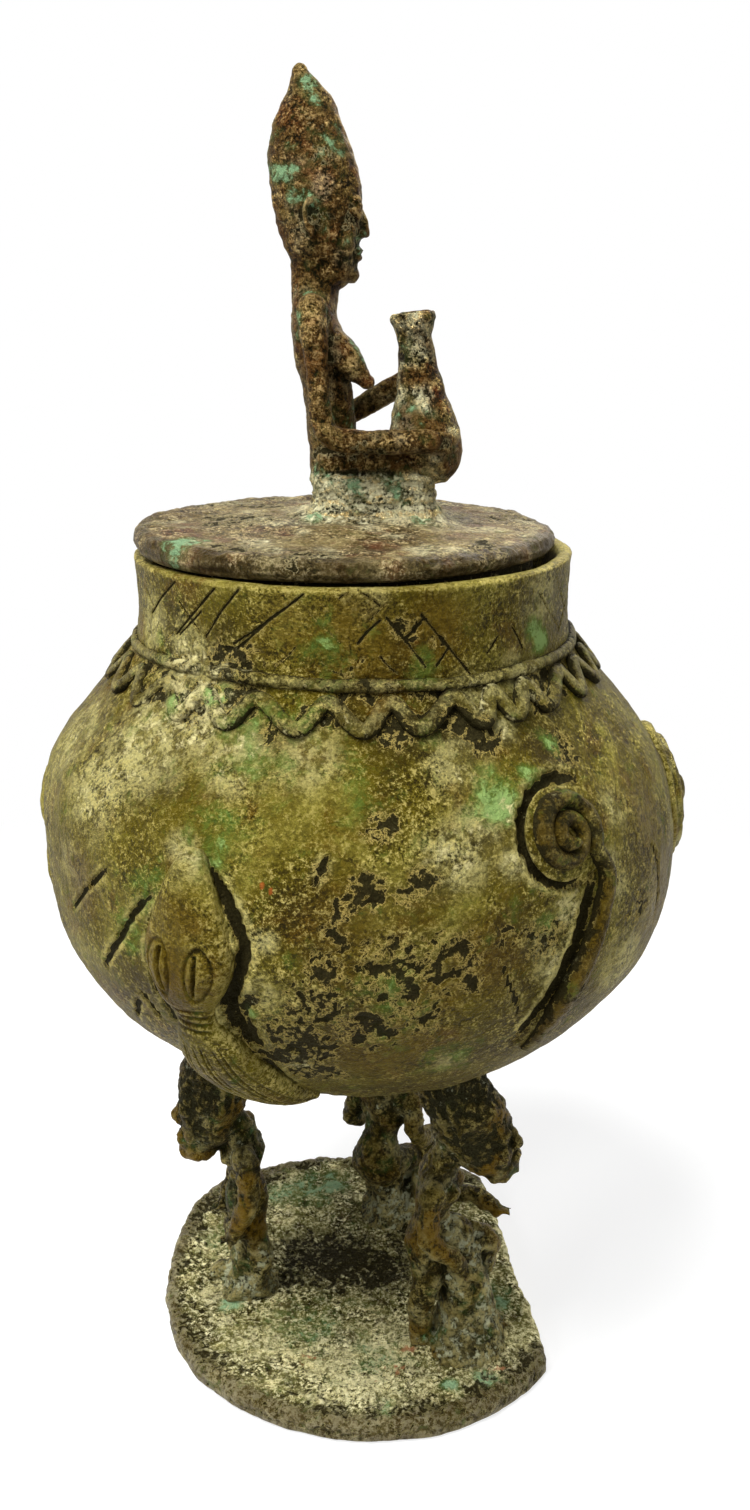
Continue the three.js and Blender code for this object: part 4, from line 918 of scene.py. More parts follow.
def laidStrip(name, spots, widths, heights, nodes, closed=False, sunk=0.9, rough=0.12, flat=0.8, seed=0,
              crest=0.6, marks=None):
    # a half-round strip through spots on the pot, with a width and a height at each
    place, facing = onPot(spots[:, 0], spots[:, 1])
    if closed:
        way = unit(np.roll(place, -1, 0) - np.roll(place, 1, 0))
    else:
        way = unit(np.gradient(place, axis=0))
    side = np.cross(facing, way)
    rings = []
    for k in range(len(place)):
        foot = side[k] * widths[k] * 0.4
        arch = []
        for t in np.radians(np.linspace(0, 180, 11)):
            up = facing[k] * heights[k] * math.sin(t) ** flat
            arch.append(place[k] + side[k] * math.cos(t) * widths[k] / 2 + up)
        rings.append(arch + [place[k] - foot - facing[k] * sunk, place[k] + foot - facing[k] * sunk])
    rings = np.array(rings)[:, ::-1]
    if closed:
        points, faces = rings.reshape(-1, 3), ringFaces(len(rings), rings.shape[1], hoop=True)
    else:
        points, faces = capped(rings, rings[0].mean(0), rings[-1].mean(0))
    mesh = meshFrom(name, points, faces)
    points = lumpy(mesh, points, layers(points, [(rough, 2.6, 3, seed), (0.5 * rough, 7, 2, seed + 1)]))

    def padded(values):
        # the points that close the ends get no mark
        return np.append(values, np.zeros(len(points) - len(values)))

    found = markSpots(points, "dark", "pale", "green")
    # painted shade along each strip's foot, and cream with a painted highlight on its crest
    paintedFootShade, crestPaleAndHighlight = [padded(np.tile(stripMarks[key], len(rings))) for key in ("dark", "pale")]
    found["dark"] = np.maximum(0.5 * found["dark"], paintedFootShade)
    found["pale"] = np.maximum(found["pale"], crest * crestPaleAndHighlight)
    for key, values in (marks or {}).items():
        found[key] = np.maximum(found.get(key, 0), padded(values))
    addPiece(name, mesh, "pot", nodes, found)


coils = {
    "width": 3.2,
    "height": 1.5,
    "levels": [(-180, 206.4), (-128, 207.4), (-112, 207.4), (-100, 207.0), (-86, 206.6), (-66, 206.0),
               (-36, 206.1), (0, 206.4), (90, 206.6), (180, 206.4)],  # azimuth and height of the plain coil
    "start": -131,
    "end": 232,
    "waveWidth": 3.9,
    "waveHeight": 1.5,
    "lowTurns": [-143.8, -129.3, -116.1, -101.0, -87.1, -76.0, -61.7, -53.1, -43.2, -28.5],
    "highTurns": [-137.7, -124.8, -111.3, -95.0, -81.1, -66.6, -56.9, -46.7, -32.0, -21.5],
    "hiddenTurns": 18,
    "waveLow": 198.1,
    "waveHigh": 203.3,
}


def wanderAt(azimuth, size, seed):
    # slow noise on the way round the pot
    return cloud(np.stack([np.cos(azimuth), np.sin(azimuth), 0 * azimuth], 1), size, 2, seed)


def makeCoils():
    degrees = np.linspace(coils["start"], coils["end"], 460)
    azimuth = np.radians(degrees)
    wander = wanderAt(azimuth, 0.22, 31)
    level = np.interp((np.degrees(azimuth) + 180) % 360 - 180, *np.array(coils["levels"], float).T)
    width = coils["width"] * (1 + 0.16 * np.roll(wander, 40))
    start = smoothstep(coils["start"], coils["start"] + 10, degrees)
    height = coils["height"] * (1 + 0.15 * wander) * (0.35 + 0.65 * start)
    spots = np.stack([azimuth, level + 0.25 * wander], 1)
    laidStrip("neckCoil", spots, width, height, ["neck_coil"], seed=41)

    # the wave: its low and high turns in order, then even ones round the back
    lows, highs, hidden = list(coils["lowTurns"]), list(coils["highTurns"]), coils["hiddenTurns"]
    last = lows[-1]
    step = (360 + lows[0] - last) / (hidden + 1)
    lows += [last + step * k for k in range(1, hidden + 1)]
    highs += [last + step * (k + 0.5) for k in range(1, hidden + 1)]
    knots = sorted([(a, coils["waveLow"]) for a in lows] + [(a, coils["waveHigh"]) for a in highs])
    knots.append((knots[0][0] + 360, knots[0][1]))
    rng = np.random.default_rng(23)
    spots = []
    for (a, za), (b, zb) in zip(knots, knots[1:]):
        sway = rng.uniform(-0.4, 0.4)
        for share in np.linspace(0, 1, 13)[:-1]:
            climb = 0.5 - 0.5 * math.cos(math.pi * share)
            z = za + (zb - za) * climb + sway * math.sin(math.pi * share)
            spots.append((math.radians(a + (b - a) * share), z))
    spots = np.array(spots)
    wander = wanderAt(spots[:, 0], 0.16, 37)
    hiddenPart = smoothstep(26, 8, np.abs(np.degrees(spots[:, 0]) + 146))  # under the crust at the left
    width = coils["waveWidth"] * (1 + 0.12 * np.roll(wander, 90))
    height = coils["waveHeight"] * (1 + 0.2 * wander) * (1 - 0.4 * hiddenPart)
    laidStrip("waveCoil", spots, width, height, ["wave_coil"], closed=True, flat=0.55, seed=43)


makeCoils()


snake = {
    "azimuth": -53.9,
    "height": 174.2,
    "turns": 1.9,
    "inner": 1.2,
    "outer": 8.7,
    "endTurn": -30,  # degrees, where the coil runs into the tail
    "tail": [(-46.6, 163.5), (-48.2, 155), (-50.6, 147), (-53.6, 138), (-56.0, 129), (-57.4, 119.5)],
    "proud": 3.4,
    # from the middle of the coil to the tip of the tail; heights are shares of proud
    "widths": [4.2, 4.4, 4.4, 5.0, 4.4, 4.2, 4.4, 5.4, 4.2],
    "heights": [1.5, 1.15, 0.85, 1.1, 0.95, 0.9, 1.0, 0.95, 0.4],
    "groundRadius": 10.8,
    "groundHeight": 1.2,
}


def onFlat(azimuth, height, radius, right, up):
    # places on a flat sheet held against the skin, round the point where it touches
    azimuth = math.radians(azimuth)
    centre, facing = onPot(azimuth, height)
    across = np.array([-math.sin(azimuth), math.cos(azimuth), 0])
    return centre + np.outer(radius * right, across) + np.outer(radius * up, np.cross(facing, across))


def pressedDisc(name, azimuth, height, radii, columns, liftAt, top, drawn):
    # a low disc on the pot, made from its edge inwards; gives its mesh and points
    x, y, _ = circle(columns).T
    rings = [onPot(*spotOnPot(onFlat(azimuth, height, r, x, y)), liftAt(r))[0] for r in radii]
    under, facing = onPot(math.radians(azimuth), height, -1.5)
    rings.insert(0, rings[0] * (1 - drawn) + under * drawn - facing * 1.6)
    points, faces = capped(np.array(rings), under, onPot(math.radians(azimuth), height, top)[0])
    return meshFrom(name, points, faces), points


def makeSnake():
    azimuth, height = snake["azimuth"], snake["height"]
    shares = np.linspace(0, 1, 190)
    turn = np.radians(snake["endTurn"]) + (1 - shares) * 2 * math.pi * snake["turns"]
    radius = snake["inner"] + (snake["outer"] - snake["inner"]) * shares
    coil = np.stack(spotOnPot(onFlat(azimuth, height, radius, np.cos(turn), np.sin(turn))), 1)
    tail = [(math.radians(a), z) for a, z in snake["tail"]]
    tailShares = np.linspace(0, 1, 120)
    spots = np.vstack([coil, through(np.vstack([coil[-1:], tail]), tailShares)[1:]])
    run = np.concatenate([shares * 0.5, 0.5 + 0.5 * tailShares[1:]])
    widths = through(np.transpose([snake["widths"]]), run)[:, 0]
    heights = snake["proud"] * through(np.transpose([snake["heights"]]), run)[:, 0]
    tailWorn = smoothstep(0.5, 0.62, run) * smoothstep(1.0, 0.9, run)
    coilWorn = smoothstep(0.5, 0.44, run)
    worn = np.repeat(np.maximum(0.9 * tailWorn, 0.7 * coilWorn), len(stripMarks["dark"]))
    laidStrip("coiledSnake", spots, widths, heights, ["snake_coil", "snake_tail"], rough=0.2, seed=51,
              sunk=1.4, crest=0.5, marks={"worn": worn})

    reach, thick = snake["groundRadius"], snake["groundHeight"]
    mesh, points = pressedDisc("snakeGround", azimuth, height, np.linspace(10.6, 0.6, 22), 72,
                               lambda r: thick * (1 - (r / reach) ** 6), 1.5, 0.1)
    lumpy(mesh, points, 0.15 * cloud(points, 3, 3, 55))
    marks = dict(markSpots(points, "pale", "green"), dark=np.full(len(points), 0.35))
    addPiece("snakeGround", mesh, "pot", ["snake_coil"], marks)


makeSnake()


# Reliefs that lie along the skin as a band

def bandRelief(name, relief, node, rows, columns, seed, shape=None):
    # a station is azimuth, height, width and lift; shape adds to the lift along and across
    shares = np.linspace(0, 1, rows)
    line = through(relief["stations"], shares)
    place, facing = onPot(np.radians(line[:, 0]), line[:, 1])
    side = np.cross(facing, unit(np.gradient(place, axis=0)))
    spread = np.linspace(-1, 1, columns)
    arch = np.sqrt(np.maximum(1 - spread ** 2, 0)) ** 0.75
    loops = []
    for k in range(rows):
        lift = line[k, 3] * arch
        if shape is not None:
            lift = lift + shape(shares[k], spread) * arch
        spots = spotOnPot(place[k] + np.outer(spread * line[k, 2] / 2, side[k]))
        top, low = onPot(*spots, lift)[0], onPot(*spots, -1.2)[0]
        loops.append(np.concatenate([top, low[::-1]])[::-1])
    points, faces = capped(np.array(loops), loops[0].mean(0), loops[-1].mean(0))
    mesh = meshFrom(name, points, faces)
    lumpy(mesh, points, 0.16 * cloud(points, 3, 3, seed))
    found = markSpots(points, "pale", "green")
    for key, spots in relief["marks"].items():
        found[key] = np.maximum(found.get(key, 0), spotsOnPot(points, spots))
    addPiece(name, mesh, "pot", [node], found)


reptile = {
    "stations": [
        (-115.6, 174.6, 4.5, 1.8), (-116.0, 167, 12, 4.0), (-116.4, 157, 19.5, 5.4), (-116.9, 149, 22.3, 5.8),
        (-117.2, 141, 17.0, 5.0), (-116.9, 134.5, 10.0, 3.4), (-116.6, 128, 15, 4.4), (-116.0, 119, 21, 5.4),
        (-113.5, 110, 22, 5.2), (-109.0, 103.5, 16, 4.2), (-103.5, 100, 7, 1.6),
    ],
    "eyeAt": 0.315,
    "eyeOut": 0.46,
    "eyeLong": 0.07,
    "eyeWide": 0.24,
    "snoutAt": 0.055,
    "neckCuts": (0.455, 0.485, 0.515, 0.545),
    "bodyLines": 9,
    "marks": {
        "worn": [(-117, 148, 12, 1), (-116, 158, 9, 0.9), (-118, 118, 8, 0.4)],
        "pale": [(-115.5, 172, 5, 1), (-116.5, 166.5, 3.5, 0.9)],
        "dark": [(-108.5, 132, 4, 0.7), (-121, 146, 2.2, 0.4)],
    },
}
leftBand = {
    "stations": [
        (184, 171, 4.5, 1.0), (184, 161, 9, 2.1), (184, 152, 5.5, 1.2), (184, 141, 9, 2.1),
        (184, 131, 4.5, 0.9),
    ],
    "marks": {},
}


def reptileShape(share, spread):
    lift = np.zeros(len(spread))
    along = (share - reptile["eyeAt"]) / reptile["eyeLong"]
    for side in (-1, 1):
        across = (spread - side * reptile["eyeOut"]) / reptile["eyeWide"]
        away = np.sqrt(along ** 2 + across ** 2)
        lift += 0.9 * np.exp(-(away / 0.9) ** 4)
        lift -= 0.6 * np.exp(-((away - 1.15) / 0.14) ** 2)
        slit = np.exp(-((across + 0.25 * side) / 0.17) ** 2) * smoothstep(1.0, 0.75, abs(along))
        lift -= 2.0 * slit
    lift += 1.1 * np.exp(-((share - reptile["snoutAt"]) / 0.022) ** 2 - (spread / 0.5) ** 2)
    for cutAt in reptile["neckCuts"]:
        lift -= 0.55 * np.exp(-((share - cutAt - 0.006 * spread) / 0.0075) ** 2)
    body = smoothstep(0.58, 0.66, share) * smoothstep(1.0, 0.93, share)
    for k in range(reptile["bodyLines"]):
        line = -0.8 + 0.2 * k + 0.05 * math.sin(9 * share + 2.3 * k)
        lift -= (0.35 + 0.3 * (k % 3 == 1)) * body * np.exp(-((spread - line) / 0.028) ** 2)
    return lift


bandRelief("reptile", reptile, "reptile_relief", 210, 84, 61, reptileShape)
bandRelief("leftRelief", leftBand, "left_relief", 80, 20, 65)


rightDisc = {
    "azimuth": 1.0,
    "height": 162.0,
    "radius": 18.5,
    "columns": 120,
    "dome": 3.3,
    "knob": 1.9,
    "knobRadius": 4.2,
    "spiral": 0.55,
    "spiralPitch": 4.1,
    "darkPatches": (0.5, 0.1, 0.5, 7, 68),
    "palePatches": (0.6, 0.1, 0.5, 6, 69),
}


def makeRightRelief():
    d = rightDisc
    turns = np.linspace(0, 2 * math.pi, d["columns"], endpoint=False)

    def liftAt(r):
        share = r / d["radius"]
        dome = d["dome"] * math.sqrt(max(1 - share ** 2, 0)) ** 0.8
        knob = d["knob"] * math.exp(-(r / d["knobRadius"]) ** 4)
        spiral = d["spiral"] * np.cos(2 * math.pi * (r / d["spiralPitch"]) - turns)
        return dome + knob + spiral * smoothstep(1.0, 0.85, share) * smoothstep(0.15, 0.3, share)

    radii = np.linspace(d["radius"], 0.5, 46)
    mesh, points = pressedDisc("rightRelief", d["azimuth"], d["height"], radii, d["columns"], liftAt,
                               d["dome"] + d["knob"], 0.06)
    lumpy(mesh, points, 0.2 * cloud(points, 4, 3, 67))
    marks = {"dark": patches(points, *d["darkPatches"]), "pale": patches(points, *d["palePatches"])}
    addPiece("rightRelief", mesh, "pot", ["right_relief"], marks)


makeRightRelief()
print("pot is dressed")


# Base plate

plate = {
    "radius": 61.5,
    "middleX": 3.9,
    "thickness": 6.5,
    "straightAt": 44.4,
    "straightTurn": 7.9,
    "edge": 2.4,
    "lowEdge": 1.6,
    "columns": 560,
    "bulges": [(141, 6.6, 20), (-65, 1.3, 38), (-130, 0.4, 20)],  # azimuth, reach and half width in degrees
    "feet": [(-34, -11, 8), (-38, 1, 8), (-27, 3, 7), (19.5, -32, 8), (33, -21, 10), (18, 26, 9), (6, 36, 9),
             (27, -24, 12)],  # x, y and reach of the metal heaped up at each foot
    "wobble": [(0.6, 0.5, 3, 71), (0.35, 0.12, 2, 72), (0.2, 0.04, 2, 70)],
    "skin": [(0.6, 26, 2, 73), (0.4, 4.2, 3, 74), (0.36, 1.7, 3, 75)],
    "pits": (0.4, 0.15, 0.55, 5, 76, 3),
}
plateMarks = {  # x, y, z, reach and strength
    "pale": [(2, -42, 6, 20, 0.7), (-24, -34, 6, 13, 0.5), (34, -36, 6, 12, 0.6), (-42, -10, 6, 7, 0.7),
             (10, -30, 6, 10, 0.5), (-30, 34, 6, 10, 0.4)],
    # dark: painted shadow of the bowl and the figures, darkest in the middle
    "dark": [(-6, 4, 6, 15, 1), (6, 0, 6, 12, 0.9), (-16, 8, 6, 12, 0.7), (22, 14, 6, 16, 0.8),
             (-20, -4, 6, 7, 0.7), (-48, -18, 6, 8, 0.5)],
    "green": [(36, -45, 6, 3.5, 1), (26, -48, 6, 3, 0.7), (-37, -15, 7, 4, 1), (-12, 42, 6, 10, 0.8),
              (-24, 38, 6, 8, 0.7), (38, -14, 6, 9, 0.8), (-36, -2, 6, 5, 0.6), (8, -56, 6, 4, 0.5),
              (-14, -24, 6, 12, 0.45), (6, -36, 6, 9, 0.5), (-40, 14, 6, 10, 0.5)],
    "red": [(10, -40, 6, 6, 1), (-12, -38, 6, 5, 0.9), (15, -34, 6, 4, 0.9), (40, -42, 6, 5, 0.9),
            (7, -45, 6, 5, 0.9)],
    "margin": [(-45, 36, 6, 14, 8)],  # where the worn margin lies further out
}


def makePlate():
    edge, lowEdge, thick, middleX = plate["edge"], plate["lowEdge"], plate["thickness"], plate["middleX"]
    turns = np.linspace(0, 2 * math.pi, plate["columns"], endpoint=False)
    way = circle(plate["columns"])
    lean = np.cos(turns - math.radians(plate["straightTurn"]))
    reach = np.where(lean > 0.05, plate["straightAt"] / np.maximum(lean, 0.05), 1e9)
    reach = np.minimum(plate["radius"], reach)
    for _ in range(6):
        reach = (np.roll(reach, 1) + 2 * reach + np.roll(reach, -1)) / 4
    for azimuth, bulge, halfWide in plate["bulges"]:
        off = (np.degrees(turns) - azimuth + 180) % 360 - 180
        reach = reach + bulge * np.exp(-(off / halfWide) ** 2)
    reach = reach + layers(way, plate["wobble"])
    rings = [((reach - edge) * share, thick) for share in np.linspace(0.012, 1, 92)]
    rings += bend((20, 40, 60, 80), reach - edge, thick - edge, edge, edge)
    rings += [(reach, 3.4), (reach, 2.6)]
    rings += bend((110, 140, 170), reach - lowEdge, lowEdge, lowEdge, lowEdge)
    rings += [((reach - lowEdge) * share, 0.0) for share in (0.95, 0.7, 0.4, 0.1)]
    points, faces = capped(turned(rings, way, middleX)[::-1], [middleX, 0, 0], [middleX, 0, thick])
    mesh = meshFrom("basePlate", points, faces)
    lift = layers(points, plate["skin"]) - patches(points, *plate["pits"])
    heaped = 0.7 + 0.6 * cloud(points, 3.2, 2, 77)
    for x, y, wide in plate["feet"]:
        away = np.hypot(points[:, 0] - x, points[:, 1] - y)
        lift += 1.8 * smoothstep(wide, 1, away) * heaped
    points = lumpy(mesh, points, lift * smoothstep(0.8, 3.0, points[:, 2]))
    points[points[:, 2] < 0.02, 2] = 0  # the underside stays flat
    setCoords(mesh, points)
    away = np.hypot(points[:, 0] - middleX, points[:, 1])
    spots = {key: spotsOn(points, places) for key, places in plateMarks.items()}
    marks = {
        "pale": np.maximum(spots["pale"], patches(points, 0.4, 0, 0.6, 14, 78)),
        "dark": np.maximum(spots["dark"], smoothstep(49, 58, away) * patches(points, 0.75, -0.5, 0.2, 7, 92)),
        "green": spots["green"],
        "red": spots["red"] * patches(points, 0.8, -0.1, 0.4, 2.4, 79),
        "worn": smoothstep(56, 59.5, away - 0.6 * spots["margin"]),
    }
    addPiece("basePlate", mesh, "plate", ["base_plate"], marks)


makePlate()


# Lid and its locating ring

lid = {
    "radius": 53.0,
    "middleX": -1.5,
    "middleY": -1.2,
    "under": 229.05,
    "edgeThick": 5.6,
    "tilt": 0.9,  # how much thicker its left edge is, and how much thinner its right one
    "crown": 2.0,
    # share of the crown at shares of the way out
    "crownLine": [(0, 1), (0.2, 1), (0.42, 1), (0.56, 0.45), (0.74, 0.1), (0.9, 0.12), (1, 0.06)],
    "columns": 520,
    "wobble": [(0.5, 0.6, 3, 81), (0.2, 0.1, 2, 82)],
    "skin": [(0.45, 20, 3, 83), (0.28, 4, 3, 84), (0.16, 1.8, 2, 85)],
    "pits": [(-31, 43, 1.5), (21, 45, 1.4), (30, 42, 1.2), (-38, 30, 1.0)],
    "green": [(-38, -34, 234, 6, 0.9), (-8, -10, 237, 5, 0.8), (18, -11, 237, 4, 0.7), (10, 40, 236, 8, 0.8)],
    "seat": (-9.8, 21.8, 10.0),
}
ringUnderLid = {
    "radius": 47.9,
    "thick": 3.0,
    "gap": 0.3,
    "deep": 8.0,
    "columns": 220,
}


def makeLid():
    middleX, middleY, under, half = lid["middleX"], lid["middleY"], lid["under"], lid["edgeThick"] / 2
    top = under + lid["edgeThick"]
    way = circle(lid["columns"])
    reach = lid["radius"] + layers(way, lid["wobble"])
    shares = np.linspace(0.012, 1, 70)
    rise = np.interp(shares, *np.transpose(lid["crownLine"]))
    rings = [((reach - half) * share, top + lid["crown"] * up) for share, up in zip(shares, rise)]
    rings += bend(np.linspace(12, 168, 15), reach - half, under + half, half, half)
    rings += [((reach - half) * share, under) for share in (1, 0.94, 0.8, 0.5, 0.2, 0.03)]
    tilt = lid["tilt"] * way[:, 0]
    rings = [(r, z - tilt * (r / lid["radius"]) ** 2 * smoothstep(under, top, z)) for r, z in rings]
    rings = turned(rings, way, middleX, middleY)[::-1]
    points, faces = capped(rings, [middleX, middleY, under], [middleX, middleY, top + lid["crown"]])
    mesh = meshFrom("lid", points, faces)
    lift = layers(points, lid["skin"])
    fromMiddle = np.hypot(points[:, 0] - middleX, points[:, 1] - middleY)
    onRim = smoothstep(48.5, 50.5, fromMiddle)
    lift += onRim * 0.5 * cloud(points * (0.14, 0.14, 1), 1.7, 2, 80)  # drawn out along the rim
    lift += (1 - onRim) * smoothstep(30, 44, fromMiddle) * 0.4 * cloud(points * (1, 1, 0), 6, 2, 90)
    back, front, halfWide = lid["seat"]
    outX = np.maximum(np.maximum(back - points[:, 0], points[:, 0] - front), 0)
    outY = np.maximum(np.abs(points[:, 1]) - halfWide, 0)
    fromSeat = np.hypot(outX, outY)
    lift += 1.7 * smoothstep(5.5, 0, fromSeat) * (0.75 + 0.5 * cloud(points, 3.5, 2, 86))
    pitDark = np.zeros(len(points))
    for x, y, r in lid["pits"]:
        away = np.hypot(points[:, 0] - x, points[:, 1] - y)
        lift -= 1.6 * smoothstep(1.5 * r, 0.4 * r, away)
        pitDark = np.maximum(pitDark, smoothstep(1.8 * r, 0.6 * r, away))
    lumpy(mesh, points, lift * smoothstep(under + 0.3, under + 1.6, points[:, 2]))
    nearSeat = 0.9 * smoothstep(12, 1, fromSeat)
    marks = {
        "pale": np.maximum(nearSeat, patches(points, 0.7, 0.0, 0.5, 13, 87)) * (1 - 0.85 * onRim),
        "dark": np.maximum(pitDark, patches(points, 0.6, 0.1, 0.6, 15, 88)),
        # the rim's worn patches: painted shade on the lid's side, with wear
        "worn": onRim * patches(points, 1, -0.6, 0.1, 9, 91),
        "green": spotsOn(points, lid["green"]),
    }
    addPiece("lid", mesh, "lid", ["lid_plate"], marks)


def makeLocatingRing():
    outer, columns = ringUnderLid["radius"], ringUnderLid["columns"]
    top = lid["under"] - ringUnderLid["gap"]
    inner, low = outer - ringUnderLid["thick"], top - ringUnderLid["deep"]
    outline = [
        (inner + 0.6, top), (inner, top - 0.6), (inner, low + 0.8), (inner + 0.8, low), (outer - 1.2, low),
        (outer - 0.3, low + 0.7), (outer, low + 2), (outer, top - 4), (outer, top - 0.6), (outer - 0.6, top),
    ]
    points = turned(outline, circle(columns), lid["middleX"], lid["middleY"]).reshape(-1, 3)
    faces = [f[::-1] for f in ringFaces(len(outline), columns, hoop=True)]
    mesh = meshFrom("locatingRing", points, faces)
    lumpy(mesh, points, 0.12 * cloud(points, 6, 3, 89) - 0.06)
    # dark all over: painted shade under the lid
    addPiece("locatingRing", mesh, "lid", ["locating_ring"], {"dark": np.full(len(points), 0.4)})


makeLid()
makeLocatingRing()
print("lid is made")


# Faces of every figure: calm, one set of proportions, measured from the chin to the top of the skull

def calmFace(chin, crown, front, wide):
    # front gives how far forward the face lies at a share of its height
    tall = crown - chin

    def at(share, ahead, side, up, *size):
        return (front(share) + ahead, side * wide, chin + up * tall, *size)

    def bead(share, ahead, side, up, size):
        # size is depth in millimetres, then half width and half height as shares of the face
        return blob(at(share, ahead, side, up), (size[0], size[1] * wide, size[2] * tall))

    parts = [
        bead(0.6, -1.2, 0, 0.59, (1.5, 0.36, 0.045)),
        limb([at(0.55, -0.7, 0, 0.56, 0.055 * wide, 0.9), at(0.45, 0.3, 0, 0.44, 0.075 * wide, 1.2),
              at(0.36, 0.9, 0, 0.36, 0.1 * wide, 1.3)], 14, 10),
        bead(0.21, -0.2, 0, 0.235, (1.1, 0.17, 0.022)),
        bead(0.18, -0.3, 0, 0.185, (1.1, 0.15, 0.024)),
        bead(0.06, -1.6, 0, 0.06, (2.0, 0.17, 0.06)),
    ]
    for side in (-1, 1):
        upperLid = [at(0.5, -1.3, side * 0.1, 0.505, 0.5, 0.4), at(0.5, -0.1, side * 0.22, 0.545, 0.6, 0.5),
                    at(0.5, -1.8, side * 0.36, 0.51, 0.5, 0.4)]
        lowerLid = [at(0.5, -1.3, side * 0.1, 0.49, 0.4, 0.4), at(0.5, -0.3, side * 0.22, 0.462, 0.45, 0.4),
                    at(0.5, -1.8, side * 0.35, 0.49, 0.4, 0.4)]
        parts += [
            bead(0.35, 0.1, side * 0.1, 0.35, (1.2, 0.06, 0.028)),
            bead(0.5, -1.5, side * 0.23, 0.5, (1.7, 0.12, 0.042)),
            limb(upperLid, 10, 10, (0, 0, 1)),
            limb(lowerLid, 10, 10, (0, 0, 1)),
            bead(0.3, -3.4, side * 0.25, 0.33, (2.6, 0.15, 0.15)),
        ]
    return parts


def ear(x, y, z, tall, side):
    rim = [
        [x + 0.6, y, z - 0.42 * tall, 0.7, 0.6],
        [x - 0.7, y + side * 0.9, z - 0.1 * tall, 0.7, 0.7],
        [x - 0.9, y + side * 1.2, z + 0.3 * tall, 0.8, 0.7],
        [x + 0.7, y + side * 0.8, z + 0.5 * tall, 0.7, 0.6],
        [x + 1.7, y + side * 0.2, z + 0.3 * tall, 0.6, 0.6],
    ]
    return [limb(rim, 12, 18), blob((x + 0.2, y, z), (1.6, 0.9, 0.4 * tall))]


# Standing figures that carry the pot on their heads

bearers = [
    {"name": "leftBearer", "nodes": "left", "x": -33, "y": -6, "facing": 188, "hips": (-1, 28),
     "feet": [(1, -5), (-3, 6)], "knees": [(2, -5, 17), (-3, 6, 19)], "hands": [(6, -6, 24), (4, 7.5, 22)],
     "headAhead": 7.5, "headTilt": 6, "headLength": 44, "beard": 0, "worn": 0.9,
     "crust": [(-1, 0, -1, 10, 9), (-1, 1, 5, 6.5, 6), (-1, 2, 14, 4.5, 4.5)],
     "patches": [(-40, -9, 40, 8), (-38, -12, 16, 9)]},
    {"name": "frontBearer", "nodes": "front", "x": 24.5, "y": -27, "facing": -8, "hips": (-4, 30),
     "feet": [(-5, -5), (8, 6)], "knees": [(-4, -6, 19), (12, 7, 27)], "hands": [(8, -8, 27), (15, 8, 37)],
     "headAhead": 7, "headTilt": 14, "headLength": 34, "beard": 2, "worn": 0.95,
     "crust": [(7, 0, -1, 15, 12), (7, 1, 6, 10, 9), (6, 1, 18, 7.5, 7), (3, 1, 32, 6, 6)],
     "patches": [(34, -28, 20, 8), (22, -34, 12, 5)]},
    # the rear bearer's small worn share leaves it dark: painted shade behind the bowl
    {"name": "rearBearer", "nodes": "rear", "x": 11, "y": 29, "facing": 60, "hips": (-9, 24),
     "feet": [(1, -7), (1, 7)], "knees": [(9, -9, 21), (9, 9, 21)], "hands": [(11, -8, 25), (11, 8, 25)],
     "headAhead": 9, "headTilt": 3, "headLength": 37, "beard": 0, "worn": 0.25,
     "crust": [(1, 0, -1, 11, 12), (0, 0, 6, 6, 9), (-2, 0, 16, 5, 7)],
     "patches": [(4, 28, 44, 8)]},
]
build = {
    "torso": 20,
    "hipWide": 15,
    "hipDeep": 13,
    "chestWide": 19,
    "chestDeep": 11.5,
    "leg": 3.8,
    "foot": 12,
    "arm": 2.9,
    "headDeep": 20,
    "headWide": 18,
    "earTall": 7.5,
    "ridges": 9,  # of hair, round the back of the head
    "crustSunk": 1.2,  # how far the feet's crust goes into the plate
    "voxel": 0.62,
}


def bowlBottomOver(x, y):
    share = min(math.hypot(x - pot["bowlShift"], y) / pot["bellyRadius"], 1)
    return pot["belly"] - (pot["belly"] - pot["underside"]) * math.sqrt(1 - share * share)


def bearerBody(figure, hipX, hipZ, chestX, chestZ, neckZ):
    b = build
    ahead = figure["headAhead"]
    wide, deep, chestWide, chestDeep = b["hipWide"], b["hipDeep"], b["chestWide"], b["chestDeep"]
    return [
        limb([
            [hipX, 0, hipZ - 3, 0.44 * wide, 0.4 * deep],
            [hipX, 0, hipZ + 2, wide / 2, deep / 2],
            [(hipX + chestX) / 2, 0, (hipZ + chestZ) / 2, 0.38 * wide, 0.36 * deep],
            [chestX, 0, chestZ - 2, 0.47 * chestWide, chestDeep / 2],
            [chestX, 0, chestZ + 2, chestWide / 2, 0.46 * chestDeep],
            [chestX + 0.25 * ahead, 0, chestZ + 7, 0.26 * chestWide, 0.4 * chestDeep],
            [0.7 * ahead, 0, max(neckZ, chestZ + 9), 4.4, 4.8],
        ], 26, 34),
        blob((chestX + 0.42 * chestDeep, 3.6, chestZ - 1), (2.2, 3.0, 2.6)),
        blob((chestX + 0.42 * chestDeep, -3.6, chestZ - 1), (2.2, 3.0, 2.6)),
    ]


